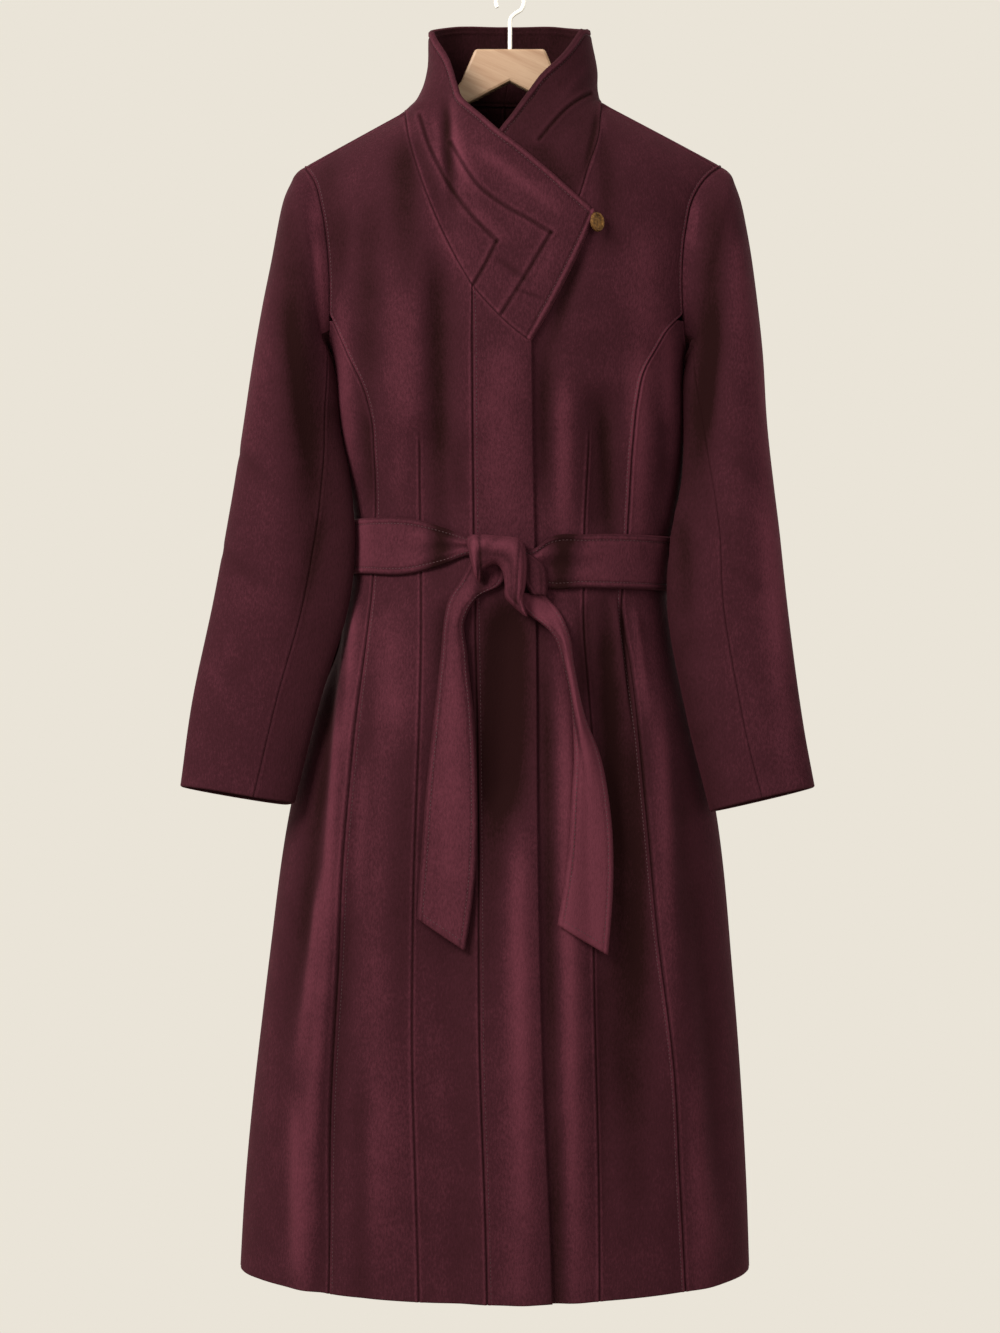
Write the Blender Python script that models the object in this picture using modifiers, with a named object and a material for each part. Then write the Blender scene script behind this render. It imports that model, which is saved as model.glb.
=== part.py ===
"""A long belted wool coat with a tall wrap collar, hanging on a wooden hanger.

Metres, +Z up. The coat's front faces -Y and the origin is the inside of the top of the
hanger's hook. Sides are named as the wearer has them, so the wearer's right is -X.
The coat is one soft surface: a body section that changes with height, a neck section that
it blends into, and a roll over the shoulders. Each cut piece is a stretch of that surface
between two seams, with a wall of cloth under it.
"""

import math

import bmesh
import bpy
import numpy as np
from mathutils import Vector

# ---- driving dimensions -------------------------------------------------------------------
CLOTH = 0.0025             # wall of one layer of melton wool
COLLAR_WALL = 0.0045       # the collar is two layers
BELT_WALL = 0.0035         # the belt is two layers, pressed
SEAM_GAP = 0.0004          # between two pieces that are sewn together
LAP_GAP = 0.0012           # between a piece and the one that it laps over
BELT_WIDTH = 0.050

HEM = -1.232               # hem at centre front, below the hook
HEM_RISE = 0.008           # the hem is higher at the sides than at the centre
HEM_RISE_TOP = -1.000      # the rise fades out here, above the hem
HEM_REACH = 0.240          # from the middle of the hem to its side
ARMPIT = -0.356
ROLL = 0.110               # depth below the shoulder line where the roll-over ends
SECTION_POWER = 2.15       # 2 is an ellipse; more is squarer
NECK_BLEND = 0.25          # share of the neck's depth in which it runs into the body
SHOULDER_BLEND = 0.010     # the two shoulder lines run together in a curve this deep
CENTRE_BACK = -0.006

# Degrees round an armhole, from its top: where the shoulder seam lies, the step between two
# points, the rows of the side panels that reach it, and where the lengthwise seams end.
FORWARD_SEAM_ANGLE = 18.0
ARMHOLE_STEP = 18.0
SIDE_PANEL_ANGLES = (180.0, 162.0, 144.0, 131.0)
SEAM_END_ANGLE = 126.0

# Shoulder line: the point by the collar and the point at the armhole, (x, z).
SHOULDER_RIGHT = ((-0.1008, -0.1190), (-0.1980, -0.1715))
SHOULDER_LEFT = ((0.0874, -0.1104), (0.2035, -0.1710))

# Body section by height: side edges, then the depth in front and behind.
# Above the armpit the edges are where the section would close if there were no armhole.
BODY = (
    # z,     right,   left,   front, back
    (-0.100, -0.2400, 0.2500, 0.088, 0.078),
    (-0.165, -0.2250, 0.2360, 0.094, 0.083),
    (-0.185, -0.2170, 0.2180, 0.096, 0.084),
    (-0.207, -0.2090, 0.2020, 0.098, 0.085),
    (-0.238, -0.1980, 0.1890, 0.101, 0.087),
    (-0.281, -0.1915, 0.1830, 0.103, 0.087),
    (-0.318, -0.1850, 0.1775, 0.104, 0.087),
    (-0.338, -0.1780, 0.1725, 0.104, 0.086),
    (-0.356, -0.1720, 0.1680, 0.103, 0.085),
    (-0.406, -0.1665, 0.1675, 0.098, 0.080),
    (-0.452, -0.1590, 0.1665, 0.090, 0.074),
    (-0.507, -0.1495, 0.1600, 0.081, 0.068),
    (-0.560, -0.1510, 0.1500, 0.081, 0.069),
    (-0.620, -0.1660, 0.1570, 0.089, 0.077),
    (-0.780, -0.2090, 0.1955, 0.103, 0.090),
    (-0.950, -0.2325, 0.2135, 0.112, 0.098),
    (-1.140, -0.2530, 0.2260, 0.119, 0.104),
    (-1.260, -0.2600, 0.2300, 0.123, 0.107),
)

# Neck section by height, in the same columns. It fades out below the chest.
NECK = (
    (-0.010, -0.0785, 0.0730, 0.056, 0.059),
    (-0.050, -0.0785, 0.0785, 0.062, 0.060),
    (-0.080, -0.0800, 0.0840, 0.068, 0.062),
    (-0.1000, -0.0860, 0.0846, 0.073, 0.064),
    (-0.1104, -0.0920, 0.0874, 0.075, 0.066),
    (-0.1190, -0.1008, 0.0935, 0.076, 0.067),
    (-0.1270, -0.1065, 0.0990, 0.077, 0.067),
    (-0.150, -0.1120, 0.1080, 0.079, 0.066),
    (-0.200, -0.1180, 0.1130, 0.070, 0.050),
    (-0.300, -0.1200, 0.1150, 0.000, 0.000),
    (-1.300, -0.1200, 0.1150, 0.000, 0.000),
)

# Armhole: how far out the seam lies at each height, (z, x).
ARMHOLE_RIGHT = ((-0.356, -0.1720), (-0.338, -0.1712), (-0.318, -0.1705), (-0.260, -0.1726),
                 (-0.217, -0.1790), (-0.189, -0.1870), (-0.1715, -0.1980))
ARMHOLE_LEFT = ((-0.356, 0.1680), (-0.338, 0.1655), (-0.318, 0.1630), (-0.281, 0.1615),
                (-0.238, 0.1655), (-0.207, 0.1735), (-0.185, 0.1880), (-0.1710, 0.2035))

# Lengthwise seams, (z, x).
PRINCESS_RIGHT = ((-1.260, -0.168), (-1.054, -0.167), (-0.930, -0.160), (-0.824, -0.154),
                  (-0.707, -0.144), (-0.589, -0.131), (-0.511, -0.127), (-0.454, -0.1285),
                  (-0.415, -0.1310), (-0.392, -0.1370), (-0.364, -0.1485), (-0.338, -0.1600),
                  (-0.318, -0.1705))
PRINCESS_LEFT = ((-1.260, 0.164), (-1.131, 0.157), (-1.035, 0.152), (-0.895, 0.136),
                 (-0.789, 0.127), (-0.648, 0.1135), (-0.586, 0.1050), (-0.525, 0.1105),
                 (-0.441, 0.1145), (-0.401, 0.1180), (-0.376, 0.1230), (-0.350, 0.1370),
                 (-0.335, 0.1460), (-0.318, 0.1630))
BACK_SEAM_RIGHT = ((-1.260, -0.150), (-0.950, -0.135), (-0.700, -0.108), (-0.560, -0.088),
                   (-0.460, -0.094), (-0.390, -0.118), (-0.345, -0.150), (-0.318, -0.1705))
BACK_SEAM_LEFT = ((-1.260, 0.135), (-0.950, 0.122), (-0.700, 0.098), (-0.560, 0.078),
                  (-0.460, 0.084), (-0.390, 0.108), (-0.345, 0.141), (-0.318, 0.1630))
PLACKET_SEAM = ((-1.260, -0.0205), (-1.167, -0.0225), (-1.000, -0.0280), (-0.870, -0.0290),
                (-0.454, -0.0340), (-0.250, -0.0354))
FRONT_EDGE = ((-1.260, 0.0380), (-1.167, 0.0350), (-1.054, 0.0297), (-0.885, 0.0252),
              (-0.586, 0.0228), (-0.430, 0.0199), (-0.330, 0.0185))

# Neck seam, from the shoulder seam down to the front edge, (x, z).
NECK_SEAM_RIGHT = ((-0.0945, -0.157), (-0.0830, -0.197), (-0.0680, -0.236),
                   (-0.0520, -0.270), (-0.0354, -0.298))
NECK_SEAM_PLACKET = ((-0.0354, -0.298), (-0.0207, -0.3155), (-0.0020, -0.3345),
                     (0.0183, -0.3505))
NECK_SEAM_LEFT = ((0.0830, -0.154), (0.0720, -0.190), (0.0610, -0.222), (0.0446, -0.254),
                  (0.0245, -0.290), (-0.0010, -0.322), (-0.0310, -0.3475))
# Neck seam behind, from centre back to the shoulder line, (x, z).
BACK_NECK_RIGHT = ((CENTRE_BACK, -0.0980), (-0.0450, -0.1000), (-0.0820, -0.1085))
BACK_NECK_LEFT = ((CENTRE_BACK, -0.0980), (0.0350, -0.0995), (0.0700, -0.1040))

# Top edge of each half of the collar, one row for each point of its neck seam,
# from centre back round to the front, (x, z, -1 in front or 1 behind).
COLLAR_TOP_RIGHT = (
    (-0.0040, -0.0240, 1), (-0.0400, -0.0260, 1), (-0.0640, -0.0325, 1),
    (-0.0768, -0.0425, -1), (-0.0705, -0.0445, -1), (-0.0610, -0.0750, -1),
    (-0.0500, -0.1080, -1), (-0.0320, -0.1354, -1), (-0.0124, -0.1543, -1),
    (0.0085, -0.1710, -1), (0.0345, -0.1930, -1), (0.0580, -0.2140, -1),
    (0.0771, -0.2311, -1))
COLLAR_TOP_LEFT = (
    (-0.0040, -0.0240, 1), (0.0360, -0.0260, 1), (0.0600, -0.0325, 1),
    (0.0748, -0.0425, -1), (0.0664, -0.0493, -1), (0.0384, -0.0883, -1),
    (0.0175, -0.1152, -1), (-0.0060, -0.1480, -1), (-0.0190, -0.1680, -1),
    (-0.0270, -0.1920, -1), (-0.0300, -0.2380, -1), (-0.0312, -0.3000, -1))

# Largest folds: x where each starts and ends, the heights between, half its width and how
# far it stands out (or in, below zero).
FRONT_FOLDS = (
    # x top,  x end,  z top,  z end,  width, height
    (-0.0900, -0.095, -0.180, -0.460, 0.022, 0.004),
    (-0.0600, -0.070, -0.260, -0.480, 0.016, -0.005),
    (0.0820, 0.090, -0.380, -0.540, 0.018, -0.007),
    (0.0300, 0.036, -0.330, -0.500, 0.014, -0.003),
    (-0.1420, -0.196, -0.570, -1.300, 0.014, 0.008),
    (-0.1300, -0.182, -0.600, -1.300, 0.010, -0.006),
    (-0.0050, -0.004, -0.580, -0.800, 0.024, -0.008),
    (0.0080, 0.012, -0.760, -1.320, 0.016, 0.005),
    (0.0480, 0.062, -0.560, -1.320, 0.016, 0.006),
    (0.0900, 0.110, -0.560, -1.120, 0.024, -0.007),
    (0.1200, 0.190, -0.590, -1.300, 0.016, 0.007),
    (-0.1000, -0.125, -0.590, -1.250, 0.022, 0.005),
    (-0.0550, -0.055, -0.600, -1.300, 0.022, -0.005),
)
BACK_FOLDS = (
    (-0.0400, -0.060, -0.560, -1.300, 0.024, 0.008),
    (0.0300, 0.050, -0.560, -1.300, 0.024, 0.008),
    (-0.0800, -0.130, -0.560, -1.300, 0.022, -0.007),
    (0.0720, 0.118, -0.560, -1.300, 0.022, -0.007),
    (-0.1050, -0.195, -0.570, -1.300, 0.020, 0.007),
    (0.0980, 0.180, -0.570, -1.300, 0.020, 0.007),
    (-0.0550, -0.075, -0.200, -0.500, 0.022, -0.005),
    (0.0480, 0.068, -0.200, -0.500, 0.022, -0.005),
)

# Sleeve rings from the shoulder to the cuff: the outer and inner edge seen from in front,
# then the middle of the depth, half the depth, and how much higher the ring is in front.
SLEEVE_RIGHT = (
    # outer x, z,      inner x, z,       mid y,  half,  tilt
    (-0.2075, -0.1820, -0.1740, -0.3610, 0.000, 0.062, 0.00),
    (-0.2180, -0.2080, -0.1745, -0.3690, -0.001, 0.063, 0.00),
    (-0.2286, -0.2640, -0.1740, -0.3900, -0.003, 0.062, 0.02),
    (-0.2410, -0.3370, -0.1725, -0.4300, -0.007, 0.058, 0.05),
    (-0.2533, -0.4200, -0.1700, -0.4800, -0.013, 0.052, 0.08),
    (-0.2670, -0.5050, -0.1660, -0.5400, -0.022, 0.046, 0.10),
    (-0.2810, -0.5870, -0.1700, -0.6050, -0.031, 0.040, 0.11),
    (-0.3000, -0.6820, -0.1885, -0.6840, -0.041, 0.034, 0.12),
    (-0.3104, -0.7620, -0.2095, -0.7790, -0.049, 0.030, 0.12),
)
SLEEVE_LEFT = (
    (0.2135, -0.1830, 0.1700, -0.3610, 0.000, 0.062, 0.00),
    (0.2227, -0.2120, 0.1705, -0.3690, -0.001, 0.063, 0.00),
    (0.2320, -0.2700, 0.1710, -0.3900, -0.005, 0.062, 0.02),
    (0.2398, -0.3470, 0.1725, -0.4300, -0.011, 0.058, 0.05),
    (0.2440, -0.4250, 0.1735, -0.4800, -0.019, 0.052, 0.08),
    (0.2525, -0.5080, 0.1660, -0.5350, -0.031, 0.044, 0.11),
    (0.2617, -0.6000, 0.1520, -0.6040, -0.042, 0.037, 0.12),
    (0.2745, -0.7000, 0.1660, -0.6980, -0.054, 0.032, 0.12),
    (0.2850, -0.7620, 0.1870, -0.7850, -0.061, 0.030, 0.12),
)
# Where the front seam of each sleeve lies round the ring, degrees from the outer edge,
# at the shoulder, elbow and cuff. The back seam is the same on both.
SLEEVE_SEAM_RIGHT = ((0.0, 144.0), (0.45, 134.0), (0.7, 122.0), (1.0, 113.0))
SLEEVE_SEAM_LEFT = ((0.0, 144.0), (0.45, 128.0), (0.7, 100.0), (1.0, 93.0))
SLEEVE_BACK_SEAM = ((0.0, 234.0), (1.0, 245.0))
SLEEVE_RINGS = 15

# Belt: height of its middle at the wearer's right side, at the left side, and its run.
BELT_RIGHT_Z = -0.5355
BELT_LEFT_Z = -0.5525
WAIST = -0.545
WAIST_REACH = 0.150        # from the middle of the waist to its side
BELT_CLEARANCE = 0.0020
BELT_COLUMNS = 46
BAND_ENDS = (-0.018, 0.004)   # where the band ends under the knot
# How the band narrows into the knot, (x, middle z, width).
BAND_RIGHT_END = ((-0.1500, -0.5355, 0.050), (-0.0870, -0.5380, 0.048),
                  (-0.0625, -0.5385, 0.033), (-0.0360, -0.5390, 0.014),
                  (-0.0180, -0.5420, 0.013))
BAND_LEFT_END = ((0.0040, -0.5480, 0.014), (0.0180, -0.5545, 0.022),
                 (0.0339, -0.5535, 0.044), (0.0693, -0.5520, 0.048),
                 (0.1500, -0.5525, 0.050))

# Tails of the belt: height, the two edges, how far the middle bows out, clearance to skirt.
TAIL_RIGHT = (
    # z,     edge,    edge,    bow,   clear
    (-0.552, -0.0365, -0.0240, 0.000, 0.0007),
    (-0.570, -0.0450, -0.0262, 0.001, 0.0010),
    (-0.584, -0.0550, -0.0310, 0.005, 0.0035),
    (-0.600, -0.0600, -0.0410, 0.008, 0.0050),
    (-0.640, -0.0640, -0.0400, 0.010, 0.0050),
    (-0.696, -0.0700, -0.0345, 0.007, 0.0035),
    (-0.755, -0.0760, -0.0320, 0.003, 0.0030),
    (-0.830, -0.0815, -0.0335, 0.001, 0.0030),
    (-0.881, -0.0850, -0.0425, 0.001, 0.0030),
)
TAIL_LEFT = (
    (-0.582, 0.0060, 0.0290, 0.000, 0.0007),
    (-0.598, 0.0140, 0.0440, 0.002, 0.0010),
    (-0.616, 0.0355, 0.0530, 0.008, 0.0050),
    (-0.650, 0.0490, 0.0590, 0.010, 0.0060),
    (-0.696, 0.0570, 0.0690, 0.012, 0.0045),
    (-0.732, 0.0590, 0.0825, 0.009, 0.0030),
    (-0.775, 0.0570, 0.0905, 0.005, 0.0030),
    (-0.830, 0.0530, 0.0940, 0.002, 0.0030),
    (-0.886, 0.0440, 0.0890, 0.001, 0.0030),
)
TAIL_SLANT = 0.028         # the point of a tail hangs this much lower than its short edge
POINT_LENGTH = 0.090       # length of a tail that its slant end pulls out of level

# Knot: its outer and inner edge, one row for each point along the wrap, (x, z) and (x, z).
KNOT = (
    (-0.0350, -0.5600, -0.0270, -0.5700),
    (-0.0385, -0.5450, -0.0255, -0.5620),
    (-0.0385, -0.5290, -0.0190, -0.5570),
    (-0.0120, -0.5290, -0.0125, -0.5560),
    (0.0100, -0.5330, -0.0075, -0.5620),
    (0.0150, -0.5500, -0.0055, -0.5740),
    (0.0150, -0.5700, -0.0050, -0.5860),
    (0.0122, -0.5880, 0.0030, -0.5950),
    (0.0162, -0.6045, 0.0120, -0.6030),
)
KNOT_RISE = 0.016          # how far the knot stands out
KNOT_BACK = 0.0062         # the knot lies on the band's ends
KNOT_END_RISE = 0.55       # share of that rise at the knot's two ends
KNOT_ROUND = 0.8           # below 1 the wrap's top is flatter than a half wave
KNOT_TAPER = 0.6           # below 1 the rise is reached sooner from the ends
# Loop of belt behind the knot, in the tails' columns.
UNDER_LOOP = (
    (-0.548, 0.0172, 0.0190, 0.000, 0.0070),
    (-0.558, 0.0172, 0.0310, 0.002, 0.0070),
    (-0.570, 0.0176, 0.0330, 0.002, 0.0070),
    (-0.582, 0.0230, 0.0330, 0.001, 0.0070),
)

HANGER_BLOCK = 0.0335      # half the flat top
HANGER_NOTCH = -0.0890     # underside at the middle
HANGER_SLOPE = 0.523       # underside, height for run
HANGER_REACH = 0.188
HANGER_ARM_START = 0.100
HANGER_STEPS = 5           # points along the hanger's neck, and along each arm
HANGER_DEPTH = 0.012
HANGER_ROUND = 0.0025
ROUND_STEPS = 2
ROUND_ANGLE = 60.0         # edges sharper than this are rounded
HANGER_PLAY = 0.0034       # between the top of the hanger's arms and the cloth on them
# Upper edge from the flat top out to where the arms begin, (distance, z).
HANGER_NECK = ((0.0335, -0.0580), (0.0390, -0.0720), (0.0510, -0.0960), (0.0700, -0.1115),
               (0.0880, -0.1215))

WIRE = 0.00195             # radius of the hook's coated wire
HOOK_RADIUS = 0.01345      # middle of the wire
HOOK_TURN = (-38.0, 205.0)   # degrees round the loop, from its bend to its open end
HOOK_STEPS = 22
# Stem of the hook above the hanger and its bend into the loop, (x, z).
HOOK_STEM = ((0.0, -0.0576), (0.0, -0.0400), (0.0, -0.0310), (0.0010, -0.0270),
             (0.0045, -0.0235))

BUTTON_PLACE = (0.0800, -0.2403)
BUTTON_TURN = 48.0         # degrees that the button has turned away from the front
BUTTON_STAND = 0.0085      # middle of the button in front of the cloth
BUTTON_STEPS = 20
# Half section of the button, (radius, height): a flat well in front inside a raised rim.
BUTTON_SECTION = ((0.0, 0.0008), (0.0060, 0.0008), (0.0068, 0.0018), (0.0082, 0.0018),
                  (0.0090, 0.0008), (0.0090, -0.0008), (0.0080, -0.0016), (0.0, -0.0016))
SHANK_RADIUS = 0.0012
SHANK_STEPS = 10
SHANK_REACH = 0.0081       # length of the shank, from the middle of the button

WELD = 0.00001             # points closer than this are one
SHARP_ANGLE = 40.0         # edges of the cloth sharper than this are not smoothed

# Linear colour of each material, and how rough and metallic it is.
WOOL = ((0.090, 0.026, 0.036, 1.0), 0.90, 0.0)
BEECH = ((0.560, 0.355, 0.200, 1.0), 0.55, 0.0)
COATED_WIRE = ((0.800, 0.790, 0.760, 1.0), 0.40, 0.0)
OLD_BRASS = ((0.230, 0.140, 0.060, 1.0), 0.45, 0.9)

# Seats and clearances between neighbouring pieces.
NECK_GAP = 0.0007
DIAGONAL = 0.7             # share of a gap that falls on x and on height at a slanting seam
RIDGE_GAP = 0.0012         # the collar stands this clear of the shoulder ridge
UNDERLAP = 0.004           # the left front ends this far inside the placket's seam
UNDERLAP_DIP = 0.0012      # the underlap lies this much lower, pressed by the placket
UNDERLAP_RAMP = (0.008, -0.006)   # from the front edge: where the dip starts and is full
LAP_RAMP = (0.026, 0.002)  # before the seam: where the right front starts to climb and is up
LAP_STEP = (0.016, 0.002)  # past the front edge: where what crosses it is down, and still up
SIDE_SEAM_ANGLE = 0.002    # radians from the side seam to each panel beside it
SLEEVE_SEAM_TURN = 0.0045  # radians from a sleeve's seam to each piece beside it
SHOULDER_SEAM_END = 0.99   # share of the shoulder line's start where the seam meets the neck
CORNER_HOLD = 6            # how quickly a panel lets go of the shape of its outer edge
SHOULDER_TURN = (115.0, 158.0)    # degrees: where a sleeve's wall starts and ends its turn

# The collar: how high and how far from the middle it stands, where its second layer is
# full, and the soft valley of its flap: x, z, half width, half length and depth.
COLLAR_HEIGHT = 0.100
NECK_RADIUS = 0.080
SECOND_LAYER = 0.25
COLLAR_VALLEY = (-0.066, -0.135, 0.012, 0.035, 0.005)

NORMAL_STEP = 2e-4         # step over which a surface's slope is taken
UPWARD = 0.3               # how much a normal above the armpit is taken to look up

# Shares of a fold's length at which it has risen and at which it starts to fade.
FOLD_FULL = 0.22
FOLD_FADE = 0.80

# Columns and rows of the pieces.
SHOULDER_COLUMNS = 4
SIDE_COLUMNS = 5
COLLAR_ROWS = 6
TOP_SLEEVE_COLUMNS = 15
UNDER_SLEEVE_COLUMNS = 5
BAND_ROWS = 3
STRIP_ROWS = 14
STRIP_COLUMNS = 4
KNOT_ROWS = 6
KNOT_COLUMNS = 14

# Heights of the rows that all body pieces share, from the hem to the armpit.
ROW_HEIGHTS = (HEM, -1.165, -1.095, -1.020, -0.945, -0.870, -0.800, -0.735, -0.675,
               -0.620, -0.575, -0.540, -0.505, -0.465, -0.425, -0.390, ARMPIT)


# ---- curves and surface -------------------------------------------------------------------
def read_curve(rows, at):
    """Smooth curve through rows of (key, value, ...), read at an array of keys."""
    table = np.array(sorted(rows), dtype=float)
    keys = table[:, 0]
    values = table[:, 1:]
    slopes = np.gradient(values, keys, axis=0)
    at = np.clip(np.asarray(at, dtype=float), keys[0], keys[-1])
    low = np.clip(np.searchsorted(keys, at) - 1, 0, len(keys) - 2)
    span = (keys[low + 1] - keys[low])[..., None]
    t = (at - keys[low])[..., None] / span
    return ((2 * t**3 - 3 * t**2 + 1) * values[low] + (t**3 - 2 * t**2 + t) * span * slopes[low]
            + (3 * t**2 - 2 * t**3) * values[low + 1] + (t**3 - t**2) * span * slopes[low + 1])


def seam(rows, z):
    """x of a seam at a height."""
    return read_curve(rows, z)[..., 0]


def ease(start, end, value):
    """Smooth step from 0 at start to 1 at end."""
    t = np.clip((value - start) / (end - start), 0.0, 1.0)
    return t * t * (3.0 - 2.0 * t)


def soft_max(a, b, reach):
    """The larger of two values, rounded where they are within reach of each other."""
    mix = np.clip(0.5 + 0.5 * (a - b) / np.maximum(reach, 1e-9), 0.0, 1.0)
    return b + (a - b) * mix + reach * mix * (1.0 - mix)


def shoulder_line(x):
    """Height of the shoulder line, carried on straight under the collar."""
    lines = []
    for neck, tip in (SHOULDER_RIGHT, SHOULDER_LEFT):
        slope = (tip[1] - neck[1]) / (tip[0] - neck[0])
        lines.append(neck[1] + slope * (x - neck[0]))
    return -soft_max(-lines[0], -lines[1], SHOULDER_BLEND)


def depth_at(rows, x, z, facing):
    """Depth of a section in front (facing -1) or behind (1) at one x."""
    right, left, front, back = np.moveaxis(read_curve(rows, z), -1, 0)
    out = np.abs(x - (left + right) / 2) / ((left - right) / 2)
    shape = np.clip(1.0 - out**SECTION_POWER, 0.0, 1.0) ** (1.0 / SECTION_POWER)
    return np.where(facing < 0, front, back) * shape


def roll_at(drop):
    """Share of the full depth that the roll over the shoulder has reached."""
    return np.sqrt(np.clip(1.0 - (1.0 - np.clip(drop / ROLL, 0.0, 1.0)) ** 2, 0.0, 1.0))


def fold_at(x, z, facing):
    """How far the large folds stand out from the plain form."""
    total = np.zeros(np.broadcast(x, z).shape)
    for side, folds in ((-1, FRONT_FOLDS), (1, BACK_FOLDS)):
        for x_top, x_end, z_top, z_end, width, height in folds:
            run = (z_top - z) / (z_top - z_end)
            middle = x_top + (x_end - x_top) * run
            reach = ease(0.0, FOLD_FULL, run) * ease(1.0, FOLD_FADE, run)
            ridge = height * reach * np.exp(-(((x - middle) / width) ** 2))
            total = total + np.where(facing == side, ridge, 0.0)
    return total


def coat_surface(x, drop_way, facing):
    """Point on the coat, drop_way below the shoulder line, or over it where negative."""
    size = np.abs(drop_way)
    turned = np.minimum(size / ROLL, 1.0) * math.pi / 2
    drop = np.where(size < ROLL, ROLL * (1.0 - np.cos(turned)), size)
    side = np.where(drop_way < 0, -facing, facing)
    z = shoulder_line(x) - drop
    neck = depth_at(NECK, x, z, side)
    depth = soft_max(depth_at(BODY, x, z, side) * np.sin(turned), neck, NECK_BLEND * neck)
    return np.stack([x + 0 * z, side * depth, z], axis=-1)


def drop_way_at(x, z):
    """The coat_surface coordinate of a height."""
    drop = shoulder_line(x) - z
    turned = np.arccos(np.clip(1.0 - drop / ROLL, -1.0, 1.0))
    return np.where(drop < ROLL, ROLL * turned / (math.pi / 2), drop)


def side_surface(angle, z):
    """Point on the body below the armholes; angle is 0 in front, 90 at the left side."""
    right, left, front, back = np.moveaxis(read_curve(BODY, z), -1, 0)
    across = np.sin(angle)
    along = np.cos(angle)
    power = 2.0 / SECTION_POWER
    x = (left + right) / 2 + (left - right) / 2 * np.sign(across) * np.abs(across) ** power
    depth = np.where(along > 0, front, back) * np.abs(along) ** power
    return np.stack([x, -np.sign(along) * depth, z + 0 * x], axis=-1)


def side_angle(x, z, facing):
    """The side_surface angle of a point."""
    right, left, _, _ = np.moveaxis(read_curve(BODY, z), -1, 0)
    out = np.clip((x - (left + right) / 2) / ((left - right) / 2), -1.0, 1.0)
    angle = np.arcsin(np.sign(out) * np.abs(out) ** (SECTION_POWER / 2))
    return np.where(facing < 0, angle, np.sign(out) * math.pi - angle)


def collar_surface(angle, z):
    """Point of the neck, where it meets the chest too; angle is 0 in front."""
    right, left, front, back = np.moveaxis(read_curve(NECK, z), -1, 0)
    power = 2.0 / SECTION_POWER
    across = np.sin(angle)
    x = (left + right) / 2 + (left - right) / 2 * np.sign(across) * np.abs(across) ** power
    facing = np.where(np.cos(angle) > 0, -1, 1)
    neck = np.where(facing < 0, front, back) * np.abs(np.cos(angle)) ** power
    body = depth_at(BODY, x, z, facing) * roll_at(shoulder_line(x) - z)
    return np.stack([x, facing * soft_max(body, neck, NECK_BLEND * neck), z + 0 * x], axis=-1)


def outward(surface, u, v, point, centre=None):
    """Unit normals of a surface at u and v, pointing away from the inside of the coat."""
    step = NORMAL_STEP
    along_u = surface(u + step, v) - surface(u - step, v)
    along_v = surface(u, v + step) - surface(u, v - step)
    normal = np.cross(along_u, along_v)
    normal /= np.linalg.norm(normal, axis=-1, keepdims=True)
    if centre is None:
        away = point * np.array([1.0, 1.0, 0.0])
        away[..., 2] = UPWARD * np.maximum(point[..., 2] - ARMPIT, 0.0)
    else:
        away = point - centre
    flip = np.sum(normal * away, axis=-1, keepdims=True) < 0
    return np.where(flip, -normal, normal)


# ---- solids -------------------------------------------------------------------------------
def new_material(name, look):
    """Plain material from its (colour, roughness, metallic)."""
    colour, roughness, metallic = look
    material = bpy.data.materials.new(name)
    material.use_nodes = True
    shader = material.node_tree.nodes["Principled BSDF"]
    shader.inputs["Base Color"].default_value = colour
    shader.inputs["Roughness"].default_value = roughness
    shader.inputs["Metallic"].default_value = metallic
    return material


def add_object(name, mesh, material):
    piece = bpy.data.objects.new(name, mesh)
    piece.data.materials.append(material)
    parts.objects.link(piece)
    return piece


def wall(name, outer, inner):
    """Closed wall of cloth between an outer and an inner grid of points."""
    rows, columns = outer.shape[:2]
    shell = bmesh.new()
    skin, back = [[[shell.verts.new(point) for point in row] for row in grid.tolist()]
                  for grid in (outer, inner)]
    for layer in (skin, back):
        for i in range(rows - 1):
            for j in range(columns - 1):
                shell.faces.new((layer[i][j], layer[i][j + 1], layer[i + 1][j + 1],
                                 layer[i + 1][j]))
    for i in (0, rows - 1):
        for j in range(columns - 1):
            shell.faces.new((skin[i][j], back[i][j], back[i][j + 1], skin[i][j + 1]))
    for j in (0, columns - 1):
        for i in range(rows - 1):
            shell.faces.new((skin[i][j], skin[i + 1][j], back[i + 1][j], back[i][j]))
    bmesh.ops.recalc_face_normals(shell, faces=shell.faces)
    mesh = bpy.data.meshes.new(name)
    shell.to_mesh(mesh)
    shell.free()
    mesh.shade_smooth()
    mesh.set_sharp_from_angle(angle=math.radians(SHARP_ANGLE))
    return add_object(name, mesh, new_material(name, WOOL))


# ---- body panels --------------------------------------------------------------------------
def coons(bottom, top, start, end, spread):
    """Grid inside four edges that share their corners; spread sets the rows' places.
    The start edge's shape is let go quickly, so that rows near a neck seam do not cross it."""
    t = spread[:, None, None]
    f = np.linspace(0, 1, len(bottom))[None, :, None]
    hold = (1 - f) ** CORNER_HOLD
    across = (1 - t) * bottom[None] + t * top[None]
    upward = hold * start[:, None] + (1 - hold) * end[:, None]
    corners = ((1 - t) * hold * bottom[0] + (1 - t) * (1 - hold) * bottom[-1]
               + t * hold * top[0] + t * (1 - hold) * top[-1])
    return across + upward - corners


def lap_at(x, z):
    """Share of the lap's lift: nothing away from the placket, all of it on the placket."""
    fold = seam(PLACKET_SEAM, z)
    return ease(fold - LAP_RAMP[0], fold - LAP_RAMP[1], x)


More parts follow.
